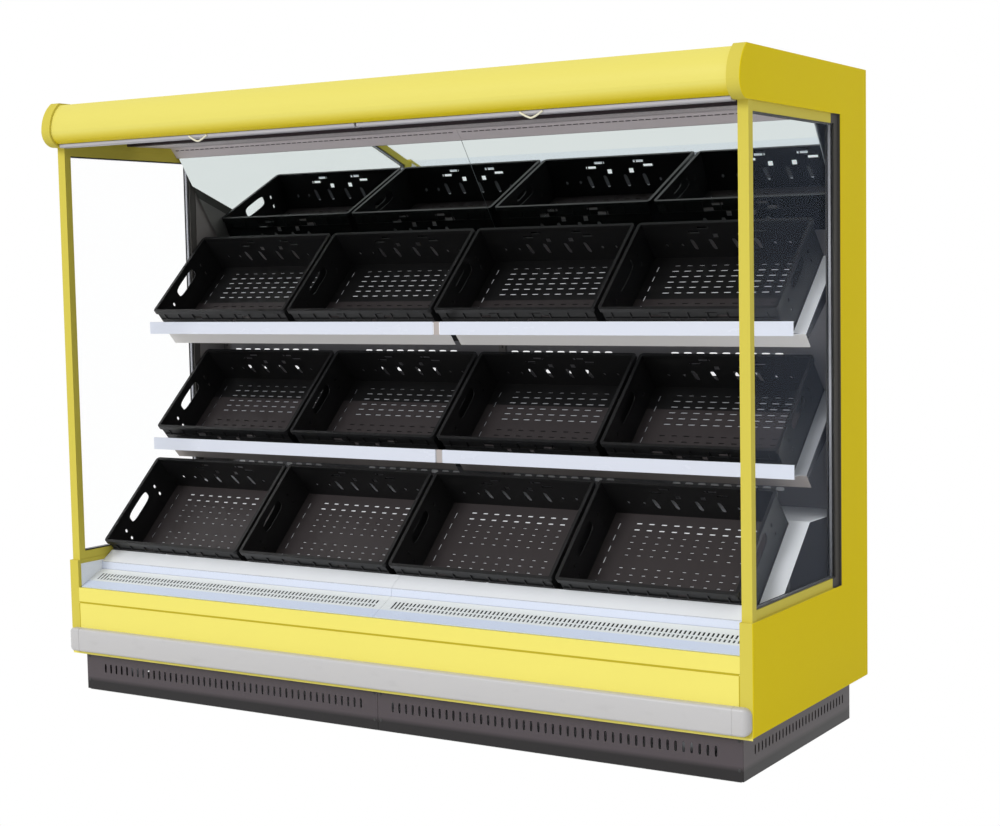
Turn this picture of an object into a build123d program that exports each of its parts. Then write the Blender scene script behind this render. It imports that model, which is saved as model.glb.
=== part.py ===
from build123d import *
from math import atan2, cos, degrees, radians, sin, sqrt, tan
import os

# Open multideck display fridge: two bays between glazed ends, three rows of tilted
# produce crates, a mirror under a curved canopy with pull-down night blinds, and a
# remote-cooled base with coil and fans.  Millimetres, X along the length, -Y to the
# shopper, +Z up, origin on the floor under the middle of the cabinet.

# ---- overall ---------------------------------------------------------------------
BAY_LENGTH = 1250.0        # one shelf bay; the cabinet has two
END_THICK = 40.0           # glazed end, inside face to outside face
HEIGHT = 2030.0
DEPTH = 946.0              # canopy nose to back
NOSE_OVERHANG = 57.0       # canopy nose in front of the base front
PLINTH_HEIGHT = 136.0      # floor to underside of the insulated base
SILL_HEIGHT = 457.0        # floor to the bottom of the end windows
REAR_POST = 218.0          # solid rear part of each end, window to back

# ---- walls, sheet and clearances --------------------------------------------------
INSULATION = 40.0          # foamed base, rear wall and roof
SHEET = 1.5                # folded sheet steel
REST_GAP = 0.3             # a loose piece to its seat
PANEL_SPACE = 14.0         # base front to the faces of its cladding
DUCT_DEPTH = 33.0          # cold air duct between back panels and rear wall
SEAM = 2.0                 # visible joint between neighbouring panels
RUNNING_CLEARANCE = 0.05   # shaft to bore, radial

# ---- canopy ------------------------------------------------------------------------
NOSE_DROP = 97.0           # cabinet top to the foremost line of the nose
NOSE_UPPER_RADIUS = 120.0
NOSE_LOWER_RADIUS = 52.0
FASCIA_INSET = 7.0         # fascia inside the outline of the ends
FASCIA_LAP = 93.0          # fascia flange lying on the roof
FASCIA_SWEEP = 70.0        # degrees that the fascia wraps under the nose
ROOF_FRONT = 118.0         # nose line to the front of the roof slab
SOFFIT_FRONT = 373.0       # nose line to the front of the soffit
SOFFIT_LIFT = 7.0          # soffit front above the fascia bottom
SOFFIT_BACK = 264.0        # rear edge of the soffit in front of the uprights
SOFFIT_RISE = 4.0          # soffit rear above its front
OUTLET_DEPTH = 25.0        # honeycomb thickness
OUTLET_SPACE = 7.0         # curtain side of the honeycomb
OUTLET_PITCH = 300.0       # cells of the honeycomb along the cabinet
OUTLET_CELL = 255.0

# ---- mirror ------------------------------------------------------------------------
MIRROR_TILT = 35.0         # degrees from vertical
MIRROR_THICK = 4.0
MIRROR_END_GAP = 10.0      # mirror to the inside of each end
MIRROR_TRIM = 46.0         # slotted trim between soffit and mirror
MIRROR_RAIL = 12.0         # depth of the sloping rails behind the mirror

# ---- night blinds -------------------------------------------------------------------
BLIND_TUBE_RADIUS = 22.0
BLIND_WOUND_RADIUS = 25.0
BLIND_PIN_RADIUS = 5.0
BLIND_AXIS_DROP = 55.0     # cabinet top to the roller axis
BLIND_FABRIC = 0.6
BLIND_END_GAP = 4.0        # bar and tube to the end of its bay
BEARING_PLATE = 4.0
CASSETTE_WALL = 2.0
CASSETTE_DEPTH = 75.0      # cassette in front of the roof slab
CASSETTE_SPACE = 4.0       # wound fabric to the wall of the cassette
BLIND_SETBACK = 40.0       # roller axis in front of the roof slab
CURTAIN_SPACE = 10.0       # curtain to the bearing plates behind it
BAR_DEPTH = 34.0
BAR_HEIGHT = 12.0
BAR_FRONT = 13.0           # bar in front of the curtain
HANDLE_WIDTH = 73.0
HANDLE_FOOT = 24.0         # width of the handle at its lowest
HANDLE_SHOULDER = 8.0      # straight part of each side
HANDLE_DROP = 22.0
HANDLE_STRAP = 5.0
HANDLE_THICK = 4.0

# ---- crates and their seats ----------------------------------------------------------
TILT = 43.0                # degrees, seats above horizontal
CRATE_DEPTH = 396.0
CRATE_HEIGHT = 150.0
CRATE_WALL = 3.0
CRATE_RIM = 8.0            # rim overhang beyond the walls
CRATE_RIM_HEIGHT = 14.0
CRATE_RIB = 102.0          # floor to the outer rib
CRATES_PER_ROW = 4
CRATE_GAP = 12.0           # one crate to the next
CRATE_START = 5.0          # first crate to the inside of the left end
CRATE_REST = 59.0          # last crate to the inside of the right end
HAND_HOLE = (122.0, 38.0)
HAND_HOLE_CORNER = 13.0
HAND_HOLE_DROP = 46.0      # rim to the middle of the hand hole
CRATE_SLOT = (12.0, 44.0)
CRATE_SLOT_Z = 58.0        # floor to the middle of the leaning slots
CRATE_SLOT_LEAN = 4.0      # half of the lean
CRATE_SLOT_SHARES = (0.285, 0.395, 0.53, 0.655)

SEAT_REACH = 293.7         # front bottom corner of the shelf crates to the uprights
DECK_SEAT_IN = 225.3       # front bottom corner of the deck crates behind the front face
DECK_SEAT_RISE = 36.3      # the same corner above the front cladding
DECK_PITCH = 381.0         # deck seat to the lower shelf seat
SHELF_PITCH = 420.0
SEAT_LIP = 37.0            # upturned front lip of a shelf tray
SEAT_HEM = 12.0            # downturned rear hem, and its distance from the crate back
DECK_LIP = 93.0            # upturned front lip of the deck
SHELF_END_GAP = 23.0       # shelf tray to the inside of an end
SHELF_MID_GAP = 11.0       # shelf tray to the middle of the cabinet

# ---- price rails, brackets, uprights --------------------------------------------------
RAIL_HEIGHT = 42.0
RAIL_REACH = 115.3         # rail face in front of the crate corner
RAIL_MID_GAP = 14.0
RAIL_HOOK = 7.0
BRACKET_THICK = 3.0
BRACKET_REAR = 70.0
BRACKET_FRONT = 22.0
UPRIGHT_WIDTH = 28.0
UPRIGHT_PROUD = 4.5        # upright face in front of the back panels
UPRIGHT_SLOT = (5.0, 24.0)
UPRIGHT_SLOT_PITCH = 210.0
AIR_SLOT = (28.0, 10.0)
AIR_SLOT_PITCH = 110.0
AIR_SLOT_RISES = (44.0, 64.0)   # slot rows above the back corners of lower shelf and deck

# ---- deck, grille and front -----------------------------------------------------------
GRILLE_BACK = (112.0, 50.0)    # from the top of the front panel: back, up
GRILLE_BEND = (53.0, 22.0)
GRILLE_FRONT = (11.5, 2.5)
STEP_HEIGHT = 26.0
STEP_LEAN = 4.0
GRILLE_SLOT = (6.0, 40.0)
GRILLE_SLOT_PITCH = 96.0
GRILLE_SLOT_MARGIN = 40.0
UPPER_PANEL_HEIGHT = 49.0
FRONT_HEIGHT = 226.0       # underside of the base to the top of the front cladding
RISER_THICK = 4.0
RISER_SETBACK = 7.0        # riser face behind the front panel face
BUMPER_BOTTOM = 6.0        # bumper above the bottom of the base
BUMPER_HEIGHT = 80.0
BUMPER_DEPTH = 25.0
BUMPER_WALL = 3.0
BUMPER_ROUND = 10.0
BUMPER_CAP = 50.0
BUMPER_END_GAP = 4.0       # cap to the outside of the end

# ---- glazed ends ------------------------------------------------------------------------
FRAME_WIDTH = 28.0
FRAME_THICK = 28.0
FRAME_RECESS = 10.0        # frame behind the outside of the end
POST_SETBACK = 11.5        # front post behind the base front
POST_RECESS = 6.0
PANE = 4.0
PANE_GAP = 8.0
PANE_LAP = 8.0
SPACER_WIDTH = 12.0
LINER_DROP = 13.0          # liner edge below the sill
EDGE_BEVEL = 2.0           # outer edges of the ends

# ---- plinth and base frame -----------------------------------------------------------
PLINTH_SETBACK = 25.0
PLINTH_END_GAP = 42.0      # plinth end inside the outside of the end
PLINTH_BACK_GAP = 51.0
PLINTH_FLOOR_GAP = 2.0
PLINTH_FOLD = 20.0
PLINTH_SLOT = (8.0, 32.0)
PLINTH_SLOT_PITCH = 96.0
PLINTH_SLOT_Z = 80.0
PLINTH_SLOT_MARGIN = 70.0
FRAME_TUBE = 40.0
FRAME_RAIL_IN = 51.0       # frame rail inside the plinth face
FOOT_RADIUS = 28.0         # over the corners of the eight-sided pad
FOOT_THICK = 8.0
FOOT_CLEAR = 34.0          # floor to the bottom of a leg
FOOT_BODY_RADIUS = 16.0    # over the corners of the six-sided body
LEG_END_GAP = 190.0        # leg to the inside of an end

# ---- cooling --------------------------------------------------------------------------
FAN_SHARE = 0.64           # outer fans, as a share of the bay length
FAN_RADIUS = 98.0
FAN_TIP_GAP = 6.0
FAN_Z = 340.0
FAN_PLATE_IN = 356.0       # fan plate behind the front face
FAN_BLADES = 5
FAN_HUB_RADIUS = 28.0
FAN_DEPTH = 34.0
FAN_SHAFT_RADIUS = 4.0
MOTOR_HALF = 34.0          # half the side of the square motor
MOTOR_LENGTH = 55.0
MOTOR_BAR = 4.0
COIL_END_GAP = 150.0
COIL_SPACE = (90.0, 64.0)  # to the front of the pan and to the uprights
COIL_HEIGHT = 130.0
COIL_FOOT = 12.0
COIL_BENDS = 4
COIL_SECTION = 200.0       # between the upright grooves in the fins
COIL_GROOVE = (8.0, 12.0)
PAN_SPACE = 40.0           # fan plate to the pan
PAN_END_GAP = 70.0
PAN_RIM = 26.0
DRAIN_RADIUS = 16.0
LIQUID_PIPE_RADIUS = 6.0
SUCTION_PIPE_RADIUS = 11.0
PIPE_SPACING = 90.0
BOX = (180.0, 110.0, 70.0)      # connection box under the base
BOX_LID = 8.0
GLAND_RADIUS = 9.0
GLAND_LENGTH = 20.0

# ---- places that follow from the sizes ------------------------------------------------
IN_X = BAY_LENGTH                        # inside face of the right end
OUT_X = IN_X + END_THICK
NOSE_Y = -DEPTH / 2
BACK_Y = DEPTH / 2
FRONT_Y = NOSE_Y + NOSE_OVERHANG
NOSE_Z = HEIGHT - NOSE_DROP
HEAD_Z = NOSE_Z - NOSE_LOWER_RADIUS      # end window top, level with the chin of the nose
WINDOW_BACK_Y = BACK_Y - REAR_POST
ROOF_TOP = HEIGHT - FASCIA_INSET - SHEET
ROOF_BOTTOM = ROOF_TOP - INSULATION
BASE_TOP = PLINTH_HEIGHT + INSULATION
BASE_FRONT_Y = FRONT_Y + PANEL_SPACE
FRONT_TOP = PLINTH_HEIGHT + FRONT_HEIGHT
WALL_FRONT_Y = BACK_Y - INSULATION
PANEL_Y = WALL_FRONT_Y - DUCT_DEPTH      # rear face of the back panels
UPRIGHT_Y = PANEL_Y - SHEET - UPRIGHT_PROUD
SEAT_Y = UPRIGHT_Y - SEAT_REACH
DECK_SEAT_Y = FRONT_Y + DECK_SEAT_IN
DECK_SEAT_Z = FRONT_TOP + DECK_SEAT_RISE
LOWER_SEAT_Z = DECK_SEAT_Z + DECK_PITCH
UPPER_SEAT_Z = LOWER_SEAT_Z + SHELF_PITCH
RAIL_FACE_Y = SEAT_Y - RAIL_REACH
CRATE_PITCH = (2 * IN_X - CRATE_START - CRATE_REST + CRATE_GAP) / CRATES_PER_ROW
CRATE_LENGTH = CRATE_PITCH - CRATE_GAP
FAN_PLACES = (-FAN_SHARE * IN_X, 0.0, FAN_SHARE * IN_X)
FAN_PLATE_Y = FRONT_Y + FAN_PLATE_IN
PAN_FRONT_Y = FAN_PLATE_Y + PAN_SPACE
COIL_FRONT_Y = PAN_FRONT_Y + COIL_SPACE[0]
COIL_DEPTH = UPRIGHT_Y - COIL_SPACE[1] - COIL_FRONT_Y
FASCIA_BOTTOM_Z = NOSE_Z - (NOSE_LOWER_RADIUS - FASCIA_INSET) * sin(radians(FASCIA_SWEEP))
SOFFIT_Z = FASCIA_BOTTOM_Z + SOFFIT_LIFT
SOFFIT_FRONT_Y = NOSE_Y + SOFFIT_FRONT
SOFFIT_REAR_Y = UPRIGHT_Y - SOFFIT_BACK
ROOF_FRONT_Y = NOSE_Y + ROOF_FRONT
BLIND_Z = HEIGHT - BLIND_AXIS_DROP
CASSETTE_FRONT_Y = ROOF_FRONT_Y - CASSETTE_DEPTH
BLIND_Y = ROOF_FRONT_Y - BLIND_SETBACK
CURTAIN_Y = BLIND_Y - BLIND_WOUND_RADIUS - REST_GAP - BLIND_FABRIC / 2
BAR_TOP = FASCIA_BOTTOM_Z - 2 * REST_GAP
BAR_BOTTOM = BAR_TOP - BAR_HEIGHT
RISER_TOP = SILL_HEIGHT + SHEET
BLIND_TRAVEL = BAR_BOTTOM - RISER_TOP - SEAM

U = (cos(radians(TILT)), sin(radians(TILT)))      # up the seat, in (Y, Z)
N = (-sin(radians(TILT)), cos(radians(TILT)))     # out of the seat, in (Y, Z)
TRIM_DIR = (cos(radians(48.0)), -sin(radians(48.0)))
MIRROR_DIR = (sin(radians(MIRROR_TILT)), -cos(radians(MIRROR_TILT)))


# ---- helpers -----------------------------------------------------------------------
def point(origin, *steps):
    """A (Y, Z) point moved from origin along (direction, distance) steps."""
    y, z = origin
    for (dy, dz), distance in steps:
        y += dy * distance
        z += dz * distance
    return (y, z)


def prism(outline, x0, x1):
    """A (Y, Z) outline of points or curves, carried along X from x0 to x1."""
    if isinstance(outline, list):
        outline = Polyline(*outline, close=True)
    face = make_face(Plane.YZ.offset(x0) * outline)
    return extrude(face, x1 - x0, dir=(1, 0, 0))


def thick_path(path, thickness):
    """The outline of a folded sheet: path is one face, the other lies to its left."""
    def normal(a, b):
        dy, dz = b[0] - a[0], b[1] - a[1]
        size = sqrt(dy * dy + dz * dz)
        return (-dz / size, dy / size)

    normals = [normal(a, b) for a, b in zip(path, path[1:])]
    other = []
    for i, p in enumerate(path):
        before = normals[max(i - 1, 0)]
        after = normals[min(i, len(normals) - 1)]
        scale = thickness / (1 + before[0] * after[0] + before[1] * after[1])
        other.append((p[0] + (before[0] + after[0]) * scale,
                      p[1] + (before[1] + after[1]) * scale))
    return path + other[::-1]


def folded(path, x0, x1, thickness=SHEET):
    """A folded sheet along X."""
    return prism(thick_path(path, thickness), x0, x1)


def block(x0, x1, y0, y1, z0, z1):
    """A plain block between corner planes."""
    return Pos((x0 + x1) / 2, (y0 + y1) / 2, (z0 + z1) / 2) * Box(x1 - x0, y1 - y0, z1 - z0)


def rod(start, end, radius):
    """A round bar from start to end."""
    axis = Vector(*end) - Vector(*start)
    return extrude(Plane(origin=start, z_dir=axis) * Circle(radius), axis.length)


def octagon_rod(start, end, radius):
    """Eight-sided bar along X or Y from start to end, its corners at the given radius."""
    axis = Vector(*end) - Vector(*start)
    profile = Plane(origin=start, z_dir=axis) * RegularPolygon(radius, 8)
    return extrude(profile, axis.length)


def both_ends(shape):
    """The left and right copies of a piece drawn at the right end."""
    return [mirror(shape, about=Plane.YZ), shape]


def spread(first, last, pitch):
    """Evenly spaced places from first to last, at about the given pitch."""
    count = max(1, round((last - first) / pitch))
    return [first + (last - first) * i / count for i in range(count + 1)]


def group(solids):
    """Separate solids that share one node."""
    return Compound(children=[s for item in solids for s in item.solids()])


def nose_outline(inset):
    """Two tangent arcs of the canopy nose, from the top edge to under the chin."""
    upper = NOSE_UPPER_RADIUS - inset
    lower = NOSE_LOWER_RADIUS - inset
    rise = NOSE_DROP - inset
    top_angle = degrees(atan2(rise, sqrt(upper * upper - rise * rise)))
    upper_centre = (NOSE_Y + NOSE_UPPER_RADIUS, NOSE_Z)
    lower_centre = (NOSE_Y + NOSE_LOWER_RADIUS, NOSE_Z)
    return upper_centre, upper, top_angle, lower_centre, lower


def polar(centre, radius, angle):
    """A point on a nose arc; angle in degrees above the line to the front."""
    return (centre[0] - radius * cos(radians(angle)), centre[1] + radius * sin(radians(angle)))


# ---- plinth and base frame ------------------------------------------------------------
def plinth_front():
    """Two folded kick plates with a row of upright air slots each."""
    face_y = FRONT_Y + PLINTH_SETBACK
    end_x = OUT_X - PLINTH_END_GAP - SHEET
    top = PLINTH_HEIGHT
    bottom = PLINTH_FLOOR_GAP
    path = [(face_y + PLINTH_FOLD, bottom), (face_y, bottom), (face_y, top),
            (face_y + PLINTH_FOLD, top)]
    plates = []
    for x0, x1 in ((-end_x, -SEAM / 4), (SEAM / 4, end_x)):
        plate = folded(path[::-1], x0, x1)
        for x in spread(x0 + PLINTH_SLOT_MARGIN, x1 - PLINTH_SLOT_MARGIN, PLINTH_SLOT_PITCH):
            plate -= Pos(x, face_y, PLINTH_SLOT_Z) * Box(PLINTH_SLOT[0], 4 * SHEET, PLINTH_SLOT[1])
        plates.append(plate)
    return group(plates)


def plinth_ends():
    """The two end kick plates, slotted like the front."""
    front = FRONT_Y + PLINTH_SETBACK
    back = BACK_Y - PLINTH_BACK_GAP
    outer = OUT_X - PLINTH_END_GAP
    plate = block(outer - SHEET, outer, front, back, PLINTH_FLOOR_GAP, PLINTH_HEIGHT)
    for y in spread(front + PLINTH_SLOT_MARGIN, back - PLINTH_SLOT_MARGIN, PLINTH_SLOT_PITCH):
        plate -= Pos(outer, y, PLINTH_SLOT_Z) * Box(4 * SHEET, PLINTH_SLOT[0], PLINTH_SLOT[1])
    return group(both_ends(plate))


def leg_places():
    """Leg centres: three along the length, one pair across the depth at each."""
    reach = IN_X - LEG_END_GAP
    front = FRONT_Y + PLINTH_SETBACK + FRAME_RAIL_IN
    back = BACK_Y - PLINTH_BACK_GAP - FRAME_RAIL_IN
    return [(x, y) for x in (-reach, 0.0, reach) for y in (front, back)]


def base_frame():
    """Welded box-section frame with six legs."""
    half = FRAME_TUBE / 2
    top = PLINTH_HEIGHT
    places = leg_places()
    reach = places[-1][0] + half
    front, back = places[0][1], places[1][1]
    frame = block(-reach, reach, front - half, front + half, top - FRAME_TUBE, top)
    frame += block(-reach, reach, back - half, back + half, top - FRAME_TUBE, top)
    for x in sorted({x for x, _ in places}):
        frame += block(x - half, x + half, front, back, top - FRAME_TUBE, top)
    for x, y in places:
        frame += block(x - half, x + half, y - half, y + half, FOOT_CLEAR, top - FRAME_TUBE)
    return frame


def levelling_feet():
    """Six pads, each with a six-sided adjusting body under its leg."""
    feet = []
    for x, y in leg_places():
        pad = extrude(RegularPolygon(FOOT_RADIUS, 8), FOOT_THICK)
        body = extrude(RegularPolygon(FOOT_BODY_RADIUS, 6), FOOT_CLEAR)
        feet.append(Pos(x, y, 0) * (pad + body))
    return group(feet)


# ---- insulated body ---------------------------------------------------------------------
def drain_place():
    """Middle of the drain outlet, under the lowest line of the drain pan."""
    return (-0.3 * IN_X, (PAN_FRONT_Y + PANEL_Y) / 2)


def pipe_places():
    """Where the two refrigerant pipes pass the base: (X, Y, radius)."""
    x = -IN_X + PAN_END_GAP * 0.7
    y = COIL_FRONT_Y + COIL_DEPTH / 2
    half = PIPE_SPACING / 2
    return [(x, y - half, LIQUID_PIPE_RADIUS), (x, y + half, SUCTION_PIPE_RADIUS)]


def base_tub():
    """Foamed base: floor slab with an upstand along the front."""
    lip = BASE_FRONT_Y + INSULATION
    tub = prism([(BASE_FRONT_Y, PLINTH_HEIGHT), (WALL_FRONT_Y, PLINTH_HEIGHT),
                 (WALL_FRONT_Y, BASE_TOP), (lip, BASE_TOP), (lip, FRONT_TOP - SHEET),
                 (BASE_FRONT_Y, FRONT_TOP - SHEET)], -IN_X, IN_X)
    x, y = drain_place()
    tub -= rod((x, y, 0), (x, y, HEIGHT / 2), DRAIN_RADIUS + SEAM / 2)
    (x, front, _), (_, back, _) = pipe_places()
    half = SUCTION_PIPE_RADIUS + SEAM
    tub -= block(x - half, x + half, front - half, back + half, 0, HEIGHT / 2)
    return tub


def rear_wall():
    """Foamed rear wall from the plinth to the roof."""
    return block(-IN_X, IN_X, WALL_FRONT_Y, BACK_Y, PLINTH_HEIGHT, ROOF_BOTTOM)


def roof_panel():
    """Foamed roof slab."""
    return block(-IN_X, IN_X, ROOF_FRONT_Y, BACK_Y, ROOF_BOTTOM, ROOF_TOP)


def end_panel():
    """C-shaped foamed end: base, rear post and head with the rounded nose."""
    upper_centre, upper, top_angle, lower_centre, lower = nose_outline(0.0)
    chin = polar(lower_centre, lower, -90.0)
    brow = polar(upper_centre, upper, top_angle)
    tip = polar(upper_centre, upper, 0.0)
    outline = Polyline(brow, (BACK_Y, HEIGHT), (BACK_Y, PLINTH_HEIGHT), (FRONT_Y, PLINTH_HEIGHT),
                       (FRONT_Y, SILL_HEIGHT), (WINDOW_BACK_Y, SILL_HEIGHT),
                       (WINDOW_BACK_Y, HEAD_Z), chin)
    outline += ThreePointArc(chin, polar(lower_centre, lower, -45.0), tip)
    outline += ThreePointArc(tip, polar(upper_centre, upper, top_angle / 2), brow)
    panel = prism(outline, IN_X, OUT_X)
    outside = panel.faces().sort_by(Axis.X)[-1].outer_wire().edges()
    return chamfer(outside, EDGE_BEVEL)


def end_liners():
    """Light inner skins of the ends, below the window and along the rear post."""
    low = BASE_TOP + SEAM
    front = BASE_FRONT_Y + INSULATION + SEAM
    lip = FRONT_TOP + SEAM
    rear = WINDOW_BACK_Y + SEAM
    edge = SILL_HEIGHT - LINER_DROP
    back = PANEL_Y - SHEET - UPRIGHT_PROUD - SEAM
    liner = prism([(BASE_FRONT_Y, lip), (BASE_FRONT_Y, edge), (rear, edge), (rear, SOFFIT_Z - SEAM),
                   (back, SOFFIT_Z - SEAM), (back, low), (front, low), (front, lip)],
                  IN_X - SHEET, IN_X)
    return group(both_ends(liner))


# ---- glazed windows ------------------------------------------------------------------------
def window_box(inset, x0, x1):
    """A block filling the window opening, drawn in by inset on all four sides."""
    return block(x0, x1, FRONT_Y + POST_SETBACK + inset, WINDOW_BACK_Y - inset,
                 SILL_HEIGHT + inset, HEAD_Z - inset)


def pane_faces():
    """X of the pane surfaces at the right end, from the inside outwards."""
    middle = OUT_X - FRAME_RECESS - FRAME_THICK / 2
    half = PANE_GAP / 2
    return [middle - half - PANE, middle - half, middle + half, middle + half + PANE]


def window_frame():
    """Extruded frame with a thicker front post, grooved for the glazing."""
    inner = OUT_X - FRAME_RECESS - FRAME_THICK
    outer = OUT_X - FRAME_RECESS
    frame = window_box(0.0, inner, outer)
    post_back = FRONT_Y + POST_SETBACK + FRAME_WIDTH
    frame += block(inner, OUT_X - POST_RECESS, FRONT_Y + POST_SETBACK, post_back,
                   SILL_HEIGHT, HEAD_Z)
    frame -= window_box(FRAME_WIDTH, inner - END_THICK, OUT_X + END_THICK)
    faces = pane_faces()
    frame -= window_box(FRAME_WIDTH - PANE_LAP, faces[0], faces[-1])
    return frame


def window_panes():
    """Two panes of glass in each end."""
    faces = pane_faces()
    panes = [window_box(FRAME_WIDTH - PANE_LAP, faces[0], faces[1]),
             window_box(FRAME_WIDTH - PANE_LAP, faces[2], faces[3])]
    return group([copy for pane in panes for copy in both_ends(pane)])


def glass_spacers():
    """Spacer bar around the gap between the panes."""
    faces = pane_faces()
    inset = FRAME_WIDTH - PANE_LAP
    bar = window_box(inset, faces[1], faces[2])
    bar -= window_box(inset + SPACER_WIDTH, faces[0], faces[3])
    return group(both_ends(bar))


# ---- canopy ------------------------------------------------------------------------------
def canopy_fascia():
    """Curved front skin, from its flange on the roof round the nose to the blind slot."""
    arcs = []
    for inset in (FASCIA_INSET, FASCIA_INSET + SHEET):
        upper_centre, upper, top_angle, lower_centre, lower = nose_outline(inset)
        brow = polar(upper_centre, upper, top_angle)
        tip = polar(upper_centre, upper, 0.0)
        chin = polar(lower_centre, lower, -FASCIA_SWEEP)
        arcs.append((brow, polar(upper_centre, upper, top_angle / 2), tip,
                     polar(lower_centre, lower, -FASCIA_SWEEP / 2), chin))
    outer, inner = arcs
    flange_y = outer[0][0] + FASCIA_LAP
    skin = Line((flange_y, outer[0][1]), outer[0])
    skin += ThreePointArc(outer[0], outer[1], outer[2])
    skin += ThreePointArc(outer[2], outer[3], outer[4])
    skin += Line(outer[4], inner[4])
    skin += ThreePointArc(inner[4], inner[3], inner[2])
    skin += ThreePointArc(inner[2], inner[1], inner[0])
    skin += Line(inner[0], (flange_y, inner[0][1]))
    skin += Line((flange_y, inner[0][1]), (flange_y, outer[0][1]))
    return prism(skin, -IN_X, IN_X)


def soffit_corner():
    """Where the soffit meets the slotted trim over the mirror."""
    return (SOFFIT_REAR_Y, SOFFIT_Z + SOFFIT_RISE)


def mirror_top():
    """Lower edge of the slotted trim, where the mirror begins."""
    return point(soffit_corner(), (TRIM_DIR, MIRROR_TRIM))


def canopy_soffit():
    """Folded soffit: hanging flange, underside and slotted trim, one sheet per bay."""
    path = [(SOFFIT_FRONT_Y, ROOF_BOTTOM), (SOFFIT_FRONT_Y, SOFFIT_Z), soffit_corner(),
            mirror_top()]
    bays = [folded(path, -IN_X, -SEAM / 4), folded(path, SEAM / 4, IN_X)]
    return group(bays)


def air_honeycomb():
    """Slatted cold air outlet between the blind slot and the soffit."""
    lip_y = BLIND_Y - CURTAIN_SPACE + OUTLET_SPACE
    top = cassette_floor()
    panel = block(-IN_X, IN_X, lip_y, SOFFIT_FRONT_Y, top - OUTLET_DEPTH, top)
    depth = SOFFIT_FRONT_Y - lip_y
    row = depth / 3
    for x in spread(-IN_X + OUTLET_PITCH / 2, IN_X - OUTLET_PITCH / 2, OUTLET_PITCH):
        for y in (lip_y + 0.3 * depth, lip_y + 0.7 * depth):
            panel -= Pos(x, y, top) * Box(OUTLET_CELL, 0.8 * row, 4 * OUTLET_DEPTH)
    return panel


# ---- night blinds ---------------------------------------------------------------------------
def cassette_floor():
    """Underside of the blind cassette."""
    return BLIND_Z - BLIND_WOUND_RADIUS - CASSETTE_WALL - CASSETTE_SPACE


def cassette_top():
    """Top of the blind cassette."""
    return BLIND_Z + BLIND_WOUND_RADIUS + CASSETTE_WALL + CASSETTE_SPACE


def bearing_places():
    """X ranges of the three bearing plates."""
    half = BEARING_PLATE / 2
    return [(-IN_X, -IN_X + BEARING_PLATE), (-half, half), (IN_X - BEARING_PLATE, IN_X)]


def blind_cassette():
    """Extruded case for both blinds, slotted below, with a bearing plate at each end."""
    low, high = cassette_floor(), cassette_top()
    path = [(CASSETTE_FRONT_Y, low), (CASSETTE_FRONT_Y, high), (ROOF_FRONT_Y, high),
            (ROOF_FRONT_Y, low), (BLIND_Y - CURTAIN_SPACE, low)]
    case = prism(thick_path(path[::-1], CASSETTE_WALL), -IN_X, IN_X)
    for x0, x1 in bearing_places():
        case += block(x0, x1, CURTAIN_Y + CURTAIN_SPACE, ROOF_FRONT_Y, low, high)
        case -= rod((x0 - 1.0, BLIND_Y, BLIND_Z), (x1 + 1.0, BLIND_Y, BLIND_Z),
                    BLIND_PIN_RADIUS + RUNNING_CLEARANCE)
    return case


def blind_roller(side):
    """Tube with a pin at each end, and the fabric wound on it."""
    inner = BEARING_PLATE / 2 + REST_GAP
    outer = IN_X - BEARING_PLATE - REST_GAP
    tube = rod((inner, BLIND_Y, BLIND_Z), (outer, BLIND_Y, BLIND_Z), BLIND_TUBE_RADIUS)
    tube += octagon_rod((REST_GAP, BLIND_Y, BLIND_Z), (inner, BLIND_Y, BLIND_Z), BLIND_PIN_RADIUS)
    pin_end = IN_X - REST_GAP
    tube += octagon_rod((outer, BLIND_Y, BLIND_Z), (pin_end, BLIND_Y, BLIND_Z), BLIND_PIN_RADIUS)
    x0, x1 = BLIND_END_GAP, IN_X - BLIND_END_GAP - BEARING_PLATE
    cloth = rod((x0, BLIND_Y, BLIND_Z), (x1, BLIND_Y, BLIND_Z), BLIND_WOUND_RADIUS)
    cloth -= rod((x0 - 1, BLIND_Y, BLIND_Z), (x1 + 1, BLIND_Y, BLIND_Z), BLIND_TUBE_RADIUS)
    roller = group([tube, cloth])
    return roller if side > 0 else group([mirror(s, about=Plane.YZ) for s in roller.solids()])


def blind_curtain(side):
    """The short stretch of fabric between the roller and the bar."""
    x0, x1 = BLIND_END_GAP, IN_X - BLIND_END_GAP - BEARING_PLATE
    curtain = block(x0, x1, CURTAIN_Y - BLIND_FABRIC / 2, CURTAIN_Y + BLIND_FABRIC / 2,
                    BAR_TOP + REST_GAP, BLIND_Z)
    return curtain if side > 0 else mirror(curtain, about=Plane.YZ)


def blind_bar(side):
    """Extruded pull bar with a strap handle that hangs below its front edge."""
    y0 = CURTAIN_Y - BAR_FRONT
    y1 = y0 + BAR_DEPTH
    bevel = BAR_HEIGHT / 3
    bar = prism([(y0, BAR_BOTTOM + bevel), (y0, BAR_TOP), (y1, BAR_TOP), (y1, BAR_BOTTOM),
                 (y0 + bevel, BAR_BOTTOM)], BLIND_END_GAP, IN_X - BLIND_END_GAP)
    x = IN_X / 2
    half = HANDLE_WIDTH / 2
    foot = HANDLE_FOOT / 2
    top = BAR_TOP - SEAM
    shoulder = top - HANDLE_SHOULDER
    low = top - HANDLE_DROP
    path = [(x - half, top), (x - half, shoulder), (x - foot, low), (x + foot, low),
            (x + half, shoulder), (x + half, top)]
    strap = Polyline(*thick_path(path, HANDLE_STRAP), close=True)
    bar += extrude(Plane.XZ.offset(-y0) * make_face(strap), HANDLE_THICK)
    return bar if side > 0 else mirror(bar, about=Plane.YZ)


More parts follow.
